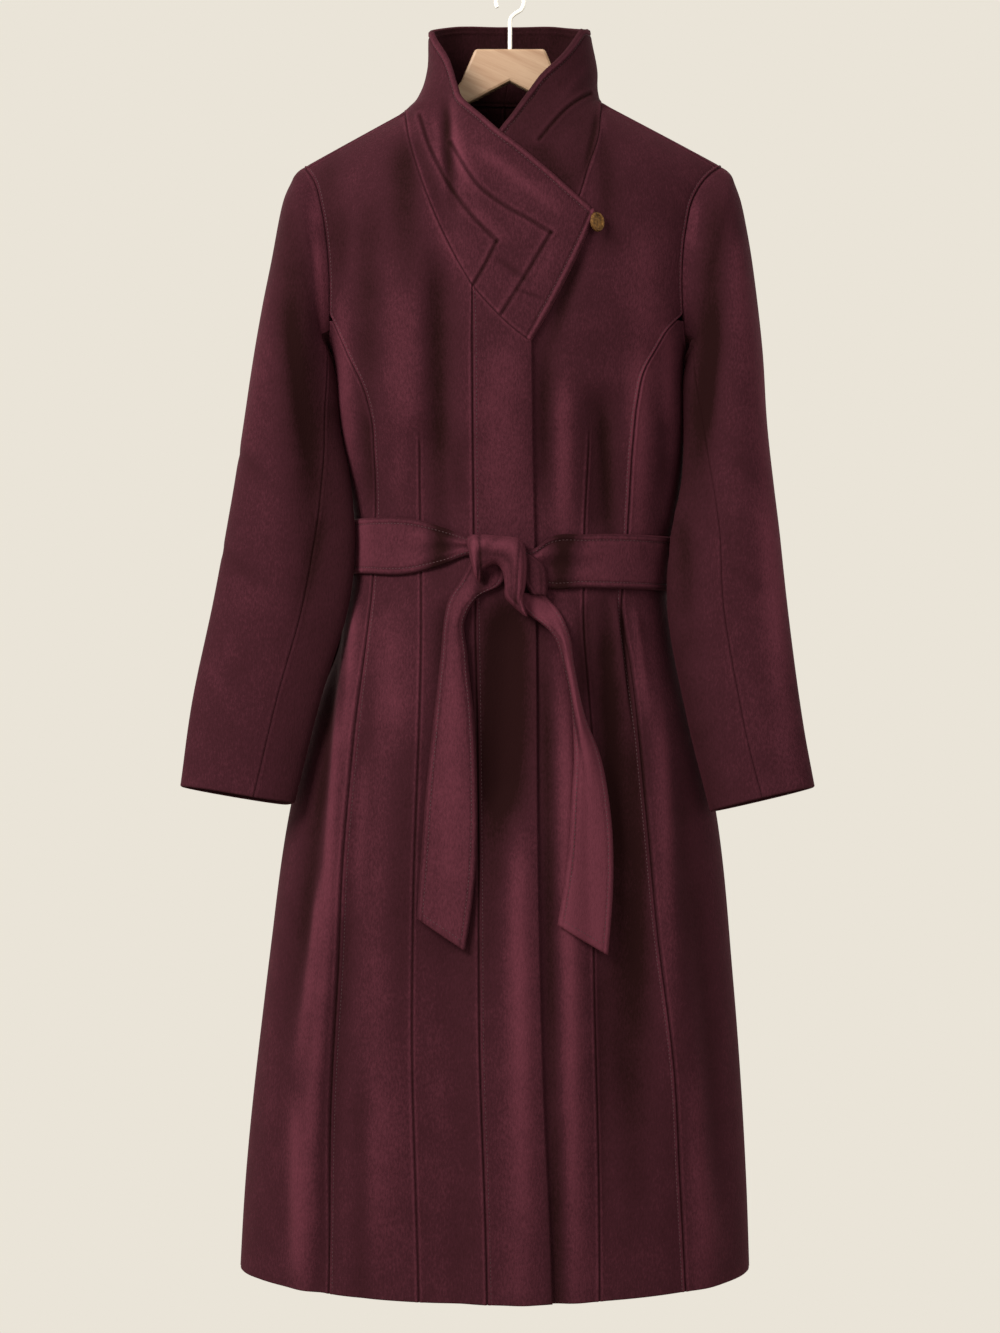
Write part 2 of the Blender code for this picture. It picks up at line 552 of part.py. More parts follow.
def with_hem_rise(x, z):
    """Height of a point whose row would be level without the hem's rise."""
    return z + ease(HEM_RISE_TOP, HEM, z) * HEM_RISE * np.minimum((x / HEM_REACH) ** 2, 1.0)


def way_points(points):
    """(x, z) points as (x, way below the shoulder line)."""
    table = np.array(points, dtype=float)
    return np.stack([table[:, 0], drop_way_at(table[:, 0], table[:, 1])], axis=-1)


def armhole_point(armhole, angle):
    """x and height of the armhole seam, angle in degrees from the top."""
    bottom, top = armhole[0][0], armhole[-1][0]
    z = (top + bottom) / 2 + (top - bottom) / 2 * np.cos(np.radians(angle))
    return seam(armhole, z), z


def forward_way(armhole):
    """How far in front of the shoulder line the shoulder seam lies."""
    return float(drop_way_at(*armhole_point(armhole, FORWARD_SEAM_ANGLE)))


def outer_edge(armhole, seam_rows, facing, side):
    """Edge of a centre panel: up its seam to the armhole, then up to the shoulder seam."""
    stop = FORWARD_SEAM_ANGLE if facing < 0 else 0.0
    angles = np.arange(180.0, stop - 1.0, -ARMHOLE_STEP)
    x, z = armhole_point(armhole, angles)
    x = np.where(angles > SEAM_END_ANGLE, seam(seam_rows, z), x) - side * SEAM_GAP / 2
    edge = way_points(np.stack([x, z], axis=-1))
    if facing > 0:
        last = (armhole_point(armhole, FORWARD_SEAM_ANGLE)[0] - side * SEAM_GAP / 2,
                SEAM_GAP - forward_way(armhole))
        edge = np.concatenate([edge, [last]])
    return edge


def centre_panel(name, facing, start_seam, end_seam, start_edge, end_edge, top, lifted):
    """Panel with shared rows up to the armpit, then a patch up to its top edge."""
    share = np.linspace(0, 1, len(top))
    bottom_x = start_edge[0, 0] * (1 - share) + end_edge[0, 0] * share
    bottom = np.stack([bottom_x, shoulder_line(bottom_x) - ARMPIT], axis=-1)
    start_edge[0], end_edge[0] = bottom[0], bottom[-1]
    top[0], end_edge[-1] = start_edge[-1], top[-1]
    rise = (start_edge[:, 1] - bottom[0, 1]) / (top[0, 1] - bottom[0, 1])
    upper = coons(bottom, top, start_edge, end_edge, rise)
    lower = []
    for z in ROW_HEIGHTS[:-1]:
        x = start_seam(z) * (1 - share) + end_seam(z) * share
        lower.append(np.stack([x, shoulder_line(x) - with_hem_rise(x, z)], axis=-1))
    x, way = np.moveaxis(np.concatenate([np.array(lower), upper]), -1, 0)

    point = coat_surface(x, way, facing)
    normal = outward(lambda u, v: coat_surface(u, v, facing), x, way, point)
    height = fold_at(x, point[..., 2], facing)
    if lifted:
        height = height + lap_at(x, point[..., 2]) * (CLOTH + LAP_GAP)
    elif facing < 0:
        edge = seam(FRONT_EDGE, point[..., 2])
        dip = ease(edge + UNDERLAP_RAMP[0], edge + UNDERLAP_RAMP[1], x)
        height = height - dip * UNDERLAP_DIP
    outer = point + normal * height[..., None]
    wall(name, outer, outer - normal * CLOTH)


def rise_of(edge):
    """Share of an edge's rise at each of its points."""
    return (edge[:, 1] - edge[0, 1]) / (edge[-1, 1] - edge[0, 1])


def neck_corner(shoulder, armhole):
    """Where the shoulder seam meets the neck seam, (x, way)."""
    return np.array([shoulder[0][0] * SHOULDER_SEAM_END, forward_way(armhole)])


def shoulder_edge(outer, corner, way):
    """Points of the shoulder seam, from the armhole to just short of the neck."""
    share = np.linspace(0, 1, SHOULDER_COLUMNS + 1)[:-1, None]
    return outer[-1] * (1 - share) + np.array([corner[0], way]) * share


def front_panels():
    """Both centre fronts and the placket that closes them."""
    start = outer_edge(ARMHOLE_RIGHT, PRINCESS_RIGHT, -1, -1)
    corner = neck_corner(SHOULDER_RIGHT, ARMHOLE_RIGHT)
    top = np.concatenate([shoulder_edge(start, corner, corner[1]), [corner],
                          way_points(NECK_SEAM_RIGHT)])
    top[SHOULDER_COLUMNS:] += NECK_GAP * np.array([-DIAGONAL, DIAGONAL])
    heights = ARMPIT + (NECK_SEAM_RIGHT[-1][1] - ARMPIT) * rise_of(start)
    fold = seam(PLACKET_SEAM, heights)
    end = way_points(np.stack([fold - SEAM_GAP / 2, heights], axis=-1))
    top[-1, 0] = end[-1, 0]
    centre_panel("right_front", -1, lambda z: seam(PRINCESS_RIGHT, z) + SEAM_GAP / 2,
                 lambda z: seam(PLACKET_SEAM, z) - SEAM_GAP / 2, start, end, top, True)

    band_start = way_points(np.stack([fold + SEAM_GAP / 2, heights], axis=-1))
    corner_z = NECK_SEAM_PLACKET[-1][1]
    edge_z = ARMPIT + (corner_z - ARMPIT) * rise_of(start)
    band_end = way_points(np.stack([seam(FRONT_EDGE, edge_z), edge_z], axis=-1))
    band_top = way_points(NECK_SEAM_PLACKET)
    band_top[:, 1] += NECK_GAP
    centre_panel("placket", -1, lambda z: seam(PLACKET_SEAM, z) + SEAM_GAP / 2,
                 lambda z: seam(FRONT_EDGE, z), band_start, band_end, band_top, True)

    start = outer_edge(ARMHOLE_LEFT, PRINCESS_LEFT, -1, 1)
    corner = neck_corner(SHOULDER_LEFT, ARMHOLE_LEFT)
    top = np.concatenate([shoulder_edge(start, corner, corner[1]), [corner],
                          way_points(NECK_SEAM_LEFT)])
    top[SHOULDER_COLUMNS:] += NECK_GAP * DIAGONAL
    under_z = ARMPIT + (NECK_SEAM_LEFT[-1][1] - ARMPIT) * rise_of(start)
    end = way_points(np.stack([seam(PLACKET_SEAM, under_z) + UNDERLAP, under_z], axis=-1))
    centre_panel("left_front", -1, lambda z: seam(PRINCESS_LEFT, z) - SEAM_GAP / 2,
                 lambda z: seam(PLACKET_SEAM, z) + UNDERLAP, start, end, top, False)


def back_panel(name, side, seam_rows, armhole, shoulder, back_neck):
    """Centre back panel, over the shoulder to the seam in front of it."""
    start = outer_edge(armhole, seam_rows, 1, side)
    corner = neck_corner(shoulder, armhole)
    neck = way_points(back_neck[::-1])
    neck[:, 1] += NECK_GAP
    ridge = [(shoulder[0][0] + side * NECK_GAP, 0.0)]
    top = np.concatenate([shoulder_edge(start, corner, start[-1, 1]),
                          [(corner[0] + side * NECK_GAP, start[-1, 1])], ridge, neck])
    centre_x = CENTRE_BACK + side * SEAM_GAP / 2
    top[-1, 0] = centre_x
    heights = ARMPIT + (back_neck[0][1] - ARMPIT) * rise_of(start)
    end = way_points(np.stack([centre_x + 0 * heights, heights], axis=-1))
    centre_panel(name, 1, lambda z: seam(seam_rows, z) - side * SEAM_GAP / 2,
                 lambda z: centre_x, start, end, top, False)


def side_panel(name, facing, side, seam_rows, armhole):
    """Panel between a lengthwise seam and the side seam, pointed at the armhole."""
    _, tip_heights = armhole_point(armhole, np.array(SIDE_PANEL_ANGLES))
    z = np.concatenate([ROW_HEIGHTS[:-1], tip_heights])
    seam_x = seam(seam_rows, z) + side * SEAM_GAP / 2
    end_x, end_z = armhole_point(armhole, SEAM_END_ANGLE)
    along = (tip_heights[-1] - tip_heights[-2]) / (end_z - tip_heights[-2])
    seam_x[-1] = seam_x[-2] + (end_x - seam_x[-2]) * along + side * SEAM_GAP
    start = side_angle(seam_x, with_hem_rise(seam_x, z), facing)
    at_armhole = side_angle(seam(armhole, z) - side * SEAM_GAP, z, facing)
    at_side = side * (math.pi / 2 + facing * SIDE_SEAM_ANGLE)
    end = np.where(z > ARMPIT + 1e-6, at_armhole, at_side)
    share = np.linspace(0, 1, SIDE_COLUMNS + 1)[None]
    angle = start[:, None] * (1 - share) + end[:, None] * share
    level = np.repeat(z[:, None], SIDE_COLUMNS + 1, axis=1)
    level = with_hem_rise(side_surface(angle, level)[..., 0], level)
    point = side_surface(angle, level)
    normal = outward(side_surface, angle, level, point)
    outer = point + normal * fold_at(point[..., 0], point[..., 2], facing)[..., None]
    wall(name, outer, outer - normal * CLOTH)


# ---- collar -------------------------------------------------------------------------------
def neck_line(back_neck, shoulder, armhole, front_neck):
    """The whole neck seam of one side as (x, z, facing), from centre back."""
    corner = neck_corner(shoulder, armhole)
    corner_z = float(coat_surface(corner[0], corner[1], -1)[2])
    line = [(x, z, 1) for x, z in back_neck]
    line += [(shoulder[0][0], shoulder[0][1] + RIDGE_GAP, 1), (corner[0], corner_z, -1)]
    return np.array(line + [(x, z, -1) for x, z in front_neck])


def collar_half(name, neck, top, side, over):
    """Half of the collar between its neck seam and its top edge."""
    angles = []
    for line in (neck, np.array(top)):
        right, left, _, _ = np.moveaxis(read_curve(NECK, line[:, 1]), -1, 0)
        out = np.clip((line[:, 0] - (left + right) / 2) / ((left - right) / 2), -1.0, 1.0)
        angle = np.arcsin(np.sign(out) * np.abs(out) ** (SECTION_POWER / 2))
        angles.append(np.where(line[:, 2] < 0, angle, side * math.pi - angle))
    low = NECK_GAP / COLLAR_HEIGHT
    t = np.linspace(low, 1, COLLAR_ROWS + 1)[:, None]
    angle = angles[0] * (1 - t) + angles[1] * t
    angle[:, 0] -= side * SEAM_GAP / 2 / NECK_RADIUS
    z = neck[:, 1] * (1 - t) + np.array(top)[:, 1] * t
    point = collar_surface(angle, z)
    normal = outward(collar_surface, angle, z, point)
    thick = CLOTH + (COLLAR_WALL - CLOTH) * ease(0.0, SECOND_LAYER, t)
    front = np.where(np.cos(angle) > 0, 1.0, 0.0)
    lap = lap_at(point[..., 0], z)
    if over:
        height = front * lap * (thick + LAP_GAP)
    else:
        height = front * (lap - 1.0) * (COLLAR_WALL + LAP_GAP)
    fold = fold_at(point[..., 0], z, -1) * front + collar_fold(point[..., 0], z, over)
    outer = point + normal * (height + fold)[..., None]
    wall(name, outer, outer - normal * thick[..., None])


def collar_fold(x, z, over):
    """The soft valley where the over flap turns round the side of the neck."""
    if not over:
        return 0.0 * x
    away = ((x - COLLAR_VALLEY[0]) / COLLAR_VALLEY[2]) ** 2
    along = ((z - COLLAR_VALLEY[1]) / COLLAR_VALLEY[3]) ** 2
    return -COLLAR_VALLEY[4] * np.exp(-away - along)


# ---- sleeves ------------------------------------------------------------------------------
def sleeve(side_name, side, armhole, table, front_seam):
    """Two-piece sleeve: a ring for each row, from the armhole to the cuff."""
    keyed = [(k,) + row for k, row in enumerate(table)]
    last = len(table) - 1.0

    def ring(turn, place):
        """Point at turn radians round from the outer edge, place rows down the sleeve."""
        outer_x, outer_z, inner_x, inner_z, middle, half, tilt = np.moveaxis(
            read_curve(keyed, place), -1, 0)
        power = 2.0 / SECTION_POWER
        across = np.sign(np.cos(turn)) * np.abs(np.cos(turn)) ** power
        ahead = np.sign(np.sin(turn)) * np.abs(np.sin(turn)) ** power
        x = (outer_x + inner_x) / 2 + (outer_x - inner_x) / 2 * across
        z = (outer_z + inner_z) / 2 + (outer_z - inner_z) / 2 * across + tilt * half * ahead
        return np.stack([x, middle - half * ahead, z], axis=-1)

    place = np.linspace(0.0, last, SLEEVE_RINGS)[:, None]
    share = place / last
    front_turn = read_curve(front_seam, share)[..., 0]
    back_turn = read_curve(SLEEVE_BACK_SEAM, share)[..., 0]
    pieces = (("top_sleeve", back_turn - 360.0, front_turn, TOP_SLEEVE_COLUMNS),
              ("under_sleeve", front_turn, back_turn, UNDER_SLEEVE_COLUMNS))
    for piece, start, end, columns in pieces:
        f = np.linspace(0, 1, columns + 1)[None]
        turn = np.radians(start * (1 - f) + end * f)
        turn[:, 0] += SLEEVE_SEAM_TURN
        turn[:, -1] -= SLEEVE_SEAM_TURN
        level = np.repeat(place, columns + 1, axis=1)
        body = ring(turn, level)
        centre = (ring(turn, level) + ring(turn + math.pi, level)) / 2
        normal = outward(ring, turn, level, body, centre)
        first, first_normal = armhole_ring(armhole, turn[0], side, normal[0])
        outer = np.concatenate([first[None], body])
        normal = np.concatenate([first_normal[None], normal])
        wall(f"{piece}_{side_name}", outer, outer - normal * CLOTH)


def armhole_ring(armhole, turn, side, sleeve_normal):
    """The sleeve's first ring: the armhole seam, a seam's gap further out. Its wall lies
    like the body's over the shoulder and turns under like the sleeve's at the armpit."""
    angle = np.degrees(np.mod(turn, 2 * math.pi))
    x, z = armhole_point(armhole, np.minimum(angle, 360.0 - angle))
    facing = np.where(angle < 180.0, -1, 1)
    way = drop_way_at(x, z)
    point = coat_surface(x, way, facing)
    normal = outward(lambda u, v: coat_surface(u, v, facing), x, way, point)
    under = ease(*SHOULDER_TURN, np.minimum(angle, 360.0 - angle))[:, None]
    normal = normal * (1 - under) + sleeve_normal * under
    normal /= np.linalg.norm(normal, axis=-1, keepdims=True)
    return point + np.array([side * NECK_GAP, 0.0, 0.0]), normal


# ---- belt ---------------------------------------------------------------------------------
def front_lift(x, z):
    """Height of the lapped front over the plain surface, at either edge of the placket."""
    edge = seam(FRONT_EDGE, z)
    still_up = ease(edge + LAP_STEP[0], edge + LAP_STEP[1], x)
    return lap_at(x, z) * still_up * (CLOTH + LAP_GAP)


def belt_band():
    """The belt round the waist, open in front where the knot closes it."""
    ends = []
    for x, z in ((BAND_ENDS[0], BAND_RIGHT_END[-1][1]), (BAND_ENDS[1], BAND_LEFT_END[0][1])):
        ends.append(float(side_angle(np.array(x), np.array(z), -1)))
    angle = np.linspace(ends[0], ends[1] - 2 * math.pi, BELT_COLUMNS + 1)
    x = side_surface(angle, np.full_like(angle, WAIST))[:, 0]
    in_front = np.cos(angle) > 0
    middle = BELT_RIGHT_Z + (BELT_LEFT_Z - BELT_RIGHT_Z) * (x + WAIST_REACH) / WAIST_REACH / 2
    width = np.full_like(x, BELT_WIDTH)
    for table, chosen in ((BAND_RIGHT_END, in_front & (x < 0)),
                          (BAND_LEFT_END, in_front & (x >= 0))):
        read = read_curve(table, x)
        middle = np.where(chosen, read[:, 0], middle)
        width = np.where(chosen, read[:, 1], width)
    across = np.linspace(-0.5, 0.5, BAND_ROWS + 1)[:, None]
    z = middle + width * across
    angle = np.repeat(angle[None], BAND_ROWS + 1, axis=0)
    point = side_surface(angle, z)
    normal = outward(side_surface, angle, z, point)
    facing = np.where(np.cos(angle) > 0, -1, 1)
    fold = np.maximum(fold_at(point[..., 0], z, facing), 0.0)
    lift = fold + np.where(facing < 0, front_lift(point[..., 0], z), 0.0) + BELT_CLEARANCE
    inner = point + normal * lift[..., None]
    wall("belt_band", inner + normal * BELT_WALL, inner)


def chest_front(x, z, clear):
    """Point in front of the skirt or chest at x and z, clear of it along Y."""
    point = coat_surface(x, drop_way_at(x, z), -1)
    fold = np.maximum(fold_at(x, z, -1), 0.0)
    point[..., 1] -= fold + front_lift(x, z) + clear
    return point


def hanging_strip(name, rows, slant):
    """Flat strip in front of the coat from rows of edges, bowed out between them."""
    top, end = rows[0][0], rows[-1][0]
    z = np.linspace(top, end, STRIP_ROWS + 1)
    edge_a, edge_b, bow, clear = np.moveaxis(read_curve(rows, z), -1, 0)
    c = np.linspace(0, 1, STRIP_COLUMNS + 1)[None]
    x = edge_a[:, None] * (1 - c) + edge_b[:, None] * c
    drop = slant * ease(end + POINT_LENGTH, end, z)[:, None] * c
    level = z[:, None] - drop
    inner = chest_front(x, level, clear[:, None] + bow[:, None] * 4 * c * (1 - c))
    outer = inner - np.array([0.0, BELT_WALL, 0.0])
    wall(name, outer, inner)


def belt_knot():
    """Soft wrap of the belt over its own ends, from the short leg round to the long one."""
    table = np.array(KNOT)
    place = np.linspace(0, len(table) - 1.0, KNOT_COLUMNS + 1)
    keyed = [(k,) + tuple(row) for k, row in enumerate(table.tolist())]
    out_x, out_z, in_x, in_z = np.moveaxis(read_curve(keyed, place), -1, 0)
    c = np.linspace(0, 1, KNOT_ROWS + 1)[:, None]
    x = out_x * (1 - c) + in_x * c
    z = out_z * (1 - c) + in_z * c
    swell = np.clip(np.sin(math.pi * c), 0.0, 1.0) ** KNOT_ROUND
    along = np.clip(np.sin(math.pi * place / place[-1]), 0.0, 1.0) ** KNOT_TAPER
    taper = KNOT_END_RISE + (1.0 - KNOT_END_RISE) * along
    inner = chest_front(x, z, KNOT_BACK)
    outer = inner.copy()
    outer[..., 1] -= BELT_WALL + KNOT_RISE * swell * taper
    wall("belt_knot", outer, inner)


# ---- hanger, hook and button --------------------------------------------------------------
def hanger_top(reach):
    """Height of the hanger's upper edge at a distance from its middle."""
    neck = read_curve(HANGER_NECK, reach)[..., 0]
    right = shoulder_line(-reach) - CLOTH - HANGER_PLAY
    left = shoulder_line(reach) - CLOTH - HANGER_PLAY
    arm = np.minimum(right, left)
    return np.where(reach < HANGER_NECK[-1][0], neck, arm)


def hanger():
    """Flat wooden hanger: one outline, cut out, with its edges rounded."""
    reach = np.concatenate([np.linspace(HANGER_BLOCK, HANGER_NECK[-1][0], HANGER_STEPS),
                            np.linspace(HANGER_ARM_START, HANGER_REACH, HANGER_STEPS)])
    top = hanger_top(reach)
    under = HANGER_NOTCH - HANGER_SLOPE * reach
    outline = [(x, z) for x, z in zip(-reach[::-1], top[::-1])]
    outline += [(x, z) for x, z in zip(reach, top)]
    outline += [(x, z) for x, z in zip(reach[::-1], under[::-1])] + [(0.0, HANGER_NOTCH)]
    outline += [(x, z) for x, z in zip(-reach, under)]
    board = bmesh.new()
    front = [board.verts.new((x, -HANGER_DEPTH / 2, z)) for x, z in outline]
    face = board.faces.new(front)
    moved = bmesh.ops.extrude_face_region(board, geom=[face])
    verts = [v for v in moved["geom"] if isinstance(v, bmesh.types.BMVert)]
    bmesh.ops.translate(board, verts=verts, vec=(0.0, HANGER_DEPTH, 0.0))
    bmesh.ops.recalc_face_normals(board, faces=board.faces)
    mesh = bpy.data.meshes.new("hanger")
    board.to_mesh(mesh)
    board.free()
    piece = add_object("hanger", mesh, new_material("beech", BEECH))
    rounding = piece.modifiers.new("rounded_edges", "BEVEL")
    rounding.width = HANGER_ROUND
    rounding.segments = ROUND_STEPS
    rounding.limit_method = "ANGLE"
    rounding.angle_limit = math.radians(ROUND_ANGLE)


def hanger_hook():
    """Coated wire: a straight stem, a bend to one side, and three quarters of a loop."""
    loop = [(HOOK_RADIUS * math.cos(a), HOOK_RADIUS * math.sin(a) + WIRE - HOOK_RADIUS)
            for a in np.radians(np.linspace(*HOOK_TURN, HOOK_STEPS))]
    route = list(HOOK_STEM) + loop
    wire = bpy.data.curves.new("hanger_hook", "CURVE")
    wire.dimensions = "3D"
    wire.bevel_depth = WIRE
    wire.bevel_resolution = 2
    wire.use_fill_caps = True
    run = wire.splines.new("POLY")
    run.points.add(len(route) - 1)
    for point, (x, z) in zip(run.points, route):
        point.co = (x, 0.0, z, 1.0)
    hook = add_object("hanger_hook", wire, new_material("coated_wire", COATED_WIRE))
    caps = hook.modifiers.new("closed_ends", "WELD")
    caps.merge_threshold = WELD


def button():
    """Round brass button, turned on its thread shank at the tip of the collar."""
    x, z = BUTTON_PLACE
    surface = chest_front(np.array(x), np.array(z), 0.0)
    place = Vector((x, surface[1] - BUTTON_STAND, z))
    mesh = bpy.data.meshes.new("button")
    mesh.from_pydata([(radius, 0.0, height) for radius, height in BUTTON_SECTION],
                     [(i, i + 1) for i in range(len(BUTTON_SECTION) - 1)], [])
    disc = add_object("button", mesh, new_material("old_brass", OLD_BRASS))
    disc.location = place
    disc.rotation_euler = (math.radians(90.0), 0.0, math.radians(BUTTON_TURN))
    turn = disc.modifiers.new("turned", "SCREW")
    turn.angle = 2 * math.pi
    turn.steps = BUTTON_STEPS
    turn.render_steps = BUTTON_STEPS
    turn.use_merge_vertices = True
    turn.merge_threshold = WELD

    bpy.ops.mesh.primitive_cylinder_add(
        vertices=SHANK_STEPS, radius=SHANK_RADIUS, depth=SHANK_REACH,
        location=place + Vector((0.0, SHANK_REACH / 2, 0.0)),
        rotation=(math.radians(90.0), 0.0, 0.0))
    shank = bpy.context.active_object
    shank.name = "button_shank_shape"
    for owner in list(shank.users_collection):
        owner.objects.unlink(shank)
    guides.objects.link(shank)
    shank.hide_render = True
    shank.display_type = "WIRE"
    joined = disc.modifiers.new("shank", "BOOLEAN")
    joined.operation = "UNION"
    joined.object = shank


# ---- the coat -----------------------------------------------------------------------------
for leftover in list(bpy.data.objects):
    bpy.data.objects.remove(leftover)
parts = bpy.data.collections.new("belted_coat")
guides = bpy.data.collections.new("guides")
for group in (parts, guides):
    bpy.context.scene.collection.children.link(group)

front_panels()
back_panel("back_right", -1, BACK_SEAM_RIGHT, ARMHOLE_RIGHT, SHOULDER_RIGHT, BACK_NECK_RIGHT)
back_panel("back_left", 1, BACK_SEAM_LEFT, ARMHOLE_LEFT, SHOULDER_LEFT, BACK_NECK_LEFT)
side_panel("right_side_front", -1, -1, PRINCESS_RIGHT, ARMHOLE_RIGHT)
side_panel("left_side_front", -1, 1, PRINCESS_LEFT, ARMHOLE_LEFT)
side_panel("back_side_right", 1, -1, BACK_SEAM_RIGHT, ARMHOLE_RIGHT)
side_panel("back_side_left", 1, 1, BACK_SEAM_LEFT, ARMHOLE_LEFT)
collar_half("collar_right",
            neck_line(BACK_NECK_RIGHT, SHOULDER_RIGHT, ARMHOLE_RIGHT,
                      NECK_SEAM_RIGHT + NECK_SEAM_PLACKET[1:]),
            COLLAR_TOP_RIGHT, -1, True)
collar_half("collar_left",
            neck_line(BACK_NECK_LEFT, SHOULDER_LEFT, ARMHOLE_LEFT, NECK_SEAM_LEFT),
            COLLAR_TOP_LEFT, 1, False)
sleeve("right", -1, ARMHOLE_RIGHT, SLEEVE_RIGHT, SLEEVE_SEAM_RIGHT)
sleeve("left", 1, ARMHOLE_LEFT, SLEEVE_LEFT, SLEEVE_SEAM_LEFT)
belt_band()
belt_knot()
hanging_strip("belt_loop_under", UNDER_LOOP, 0.0)
hanging_strip("belt_tail_right", TAIL_RIGHT, TAIL_SLANT)
hanging_strip("belt_tail_left", TAIL_LEFT, TAIL_SLANT)
hanger()
hanger_hook()
button()
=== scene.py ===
"""A long belted wool coat with a tall wrap collar, hanging on a wooden hanger.

Metres, +Z up, the coat's front faces -Y, and sides are named as the wearer has them.
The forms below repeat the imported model's own sections, seams and folds at cloth detail.
"""
import math

import bpy
import numpy as np
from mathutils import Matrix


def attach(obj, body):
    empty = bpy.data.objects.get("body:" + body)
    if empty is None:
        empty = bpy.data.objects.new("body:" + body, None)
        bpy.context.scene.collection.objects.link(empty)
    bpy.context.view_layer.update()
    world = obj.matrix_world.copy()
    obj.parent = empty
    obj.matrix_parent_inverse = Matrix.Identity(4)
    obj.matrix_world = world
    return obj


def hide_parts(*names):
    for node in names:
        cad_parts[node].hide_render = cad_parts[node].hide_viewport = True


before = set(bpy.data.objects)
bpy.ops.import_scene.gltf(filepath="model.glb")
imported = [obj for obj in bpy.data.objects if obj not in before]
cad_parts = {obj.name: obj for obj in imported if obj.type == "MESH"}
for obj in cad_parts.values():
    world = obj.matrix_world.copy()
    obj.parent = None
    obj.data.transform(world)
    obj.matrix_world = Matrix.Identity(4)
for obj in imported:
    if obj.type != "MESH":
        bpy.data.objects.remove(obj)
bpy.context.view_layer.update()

scene = bpy.context.scene

# ---- The studio ---------------------------------------------------------------------------
# A soft daylight studio: a camera square to the coat, a large soft light from above on the
# left, a weaker one on the right, two behind, and a pale floor half a metre below the hem.
CAMERA_PLACE = (-0.0096, -2.5, -0.650)
VIEW_HEIGHT = 1.280        # height of the picture at the coat's middle
SENSOR = 36.0              # mm
LIGHTS = (
    # name,       place,              size, watts, colour
    ("key", (-1.9, -2.1, 1.05), 1.3, 165.0, "#fff8f0"),
    ("fill", (2.2, -2.3, 0.10), 2.4, 20.0, "#f6f4f2"),
    ("back_left", (-1.6, 2.6, 0.90), 2.2, 34.0, "#fff8f0"),
    ("back_right", (2.0, 2.4, 0.40), 2.2, 22.0, "#f6f4f2"),
)
LIT_HEIGHT = -0.62         # all of them point at the coat's middle
FLOOR_Z = -1.72
FLOOR_RADIUS = 1.5
FLOOR_SIDES = 96


def linear(code):
    """An sRGB hex colour as linear values."""
    values = [int(code[i:i + 2], 16) / 255 for i in (1, 3, 5)]
    return [v / 12.92 if v <= 0.04045 else ((v + 0.055) / 1.055) ** 2.4 for v in values] + [1.0]


def new_object(name, data, place=(0.0, 0.0, 0.0)):
    made = bpy.data.objects.new(name, data)
    made.location = place
    scene.collection.objects.link(made)
    return made


def new_mesh(name, verts, faces):
    mesh = bpy.data.meshes.new(name)
    mesh.from_pydata(verts, [], faces)
    return mesh


def new_material(name, sockets):
    """A material and its shader, with what is the same all over set on the shader."""
    made = bpy.data.materials.new(name)
    made.use_nodes = True
    shader = made.node_tree.nodes["Principled BSDF"]
    for socket, value in sockets.items():
        shader.inputs[socket].default_value = value
    return made, shader


camera = new_object("camera", bpy.data.cameras.new("camera"), CAMERA_PLACE)
camera.rotation_euler = (math.pi / 2, 0.0, 0.0)
camera.data.sensor_width = SENSOR
camera.data.lens = SENSOR * -CAMERA_PLACE[1] / VIEW_HEIGHT
scene.camera = camera
scene.view_settings.view_transform = "Standard"

for name, place, size, watts, tint in LIGHTS:
    light = bpy.data.lights.new(name, "AREA")
    light.size = size
    light.energy = watts
    light.color = linear(tint)[:3]
    lamp = new_object(name, light, place)
    aim = np.array([0.0, 0.0, LIT_HEIGHT]) - np.array(place)
    lamp.rotation_euler = (math.atan2(math.hypot(aim[0], aim[1]), -aim[2]), 0.0,
                           math.atan2(-aim[0], aim[1]))

world = bpy.data.worlds.new("plain_backdrop")
scene.world = world
world.use_nodes = True
world.node_tree.nodes["Background"].inputs["Color"].default_value = linear("#eae4d8")

floor_rim = [(FLOOR_RADIUS * math.cos(a), FLOOR_RADIUS * math.sin(a), FLOOR_Z)
             for a in np.linspace(0, 2 * math.pi, FLOOR_SIDES, endpoint=False)]
floor = new_object("floor", new_mesh("floor", floor_rim, [list(range(FLOOR_SIDES))]))
floor.data.materials.append(new_material(
    "matt_floor_paint", {"Base Color": linear("#b4aea3"), "Roughness": 0.9})[0])


# ---- The wool -----------------------------------------------------------------------------
# Melton: a heavy woollen, milled and brushed until the weave is hidden under a short nap
# that lies downwards. It is matt, carries painted shade in its hollows and painted light on
# its ridges, and has a soft pale sheen where the surface turns away.
NAP_LENGTH = 0.0036        # a tuft of the nap, drawn coarser than the real one so that it shows
NAP_WIDTH = 0.0015         # and longer down the coat than across
NAP_SHARE = 0.62           # how much it plays on the colour
CLOUD = 0.030              # patches where the nap lies differently
CLOUD_SHARE = 0.22


def add_node(tree, kind, links=(), **settings):
    """A node with its settings, by property or socket name, and its (socket, source) links."""
    made = tree.nodes.new(kind)
    for name, value in settings.items():
        if hasattr(made, name):
            setattr(made, name, value)
        else:
            made.inputs[name.replace("_", " ")].default_value = value
    for socket, source in links:
        tree.links.new(source, made.inputs[socket])
    return made


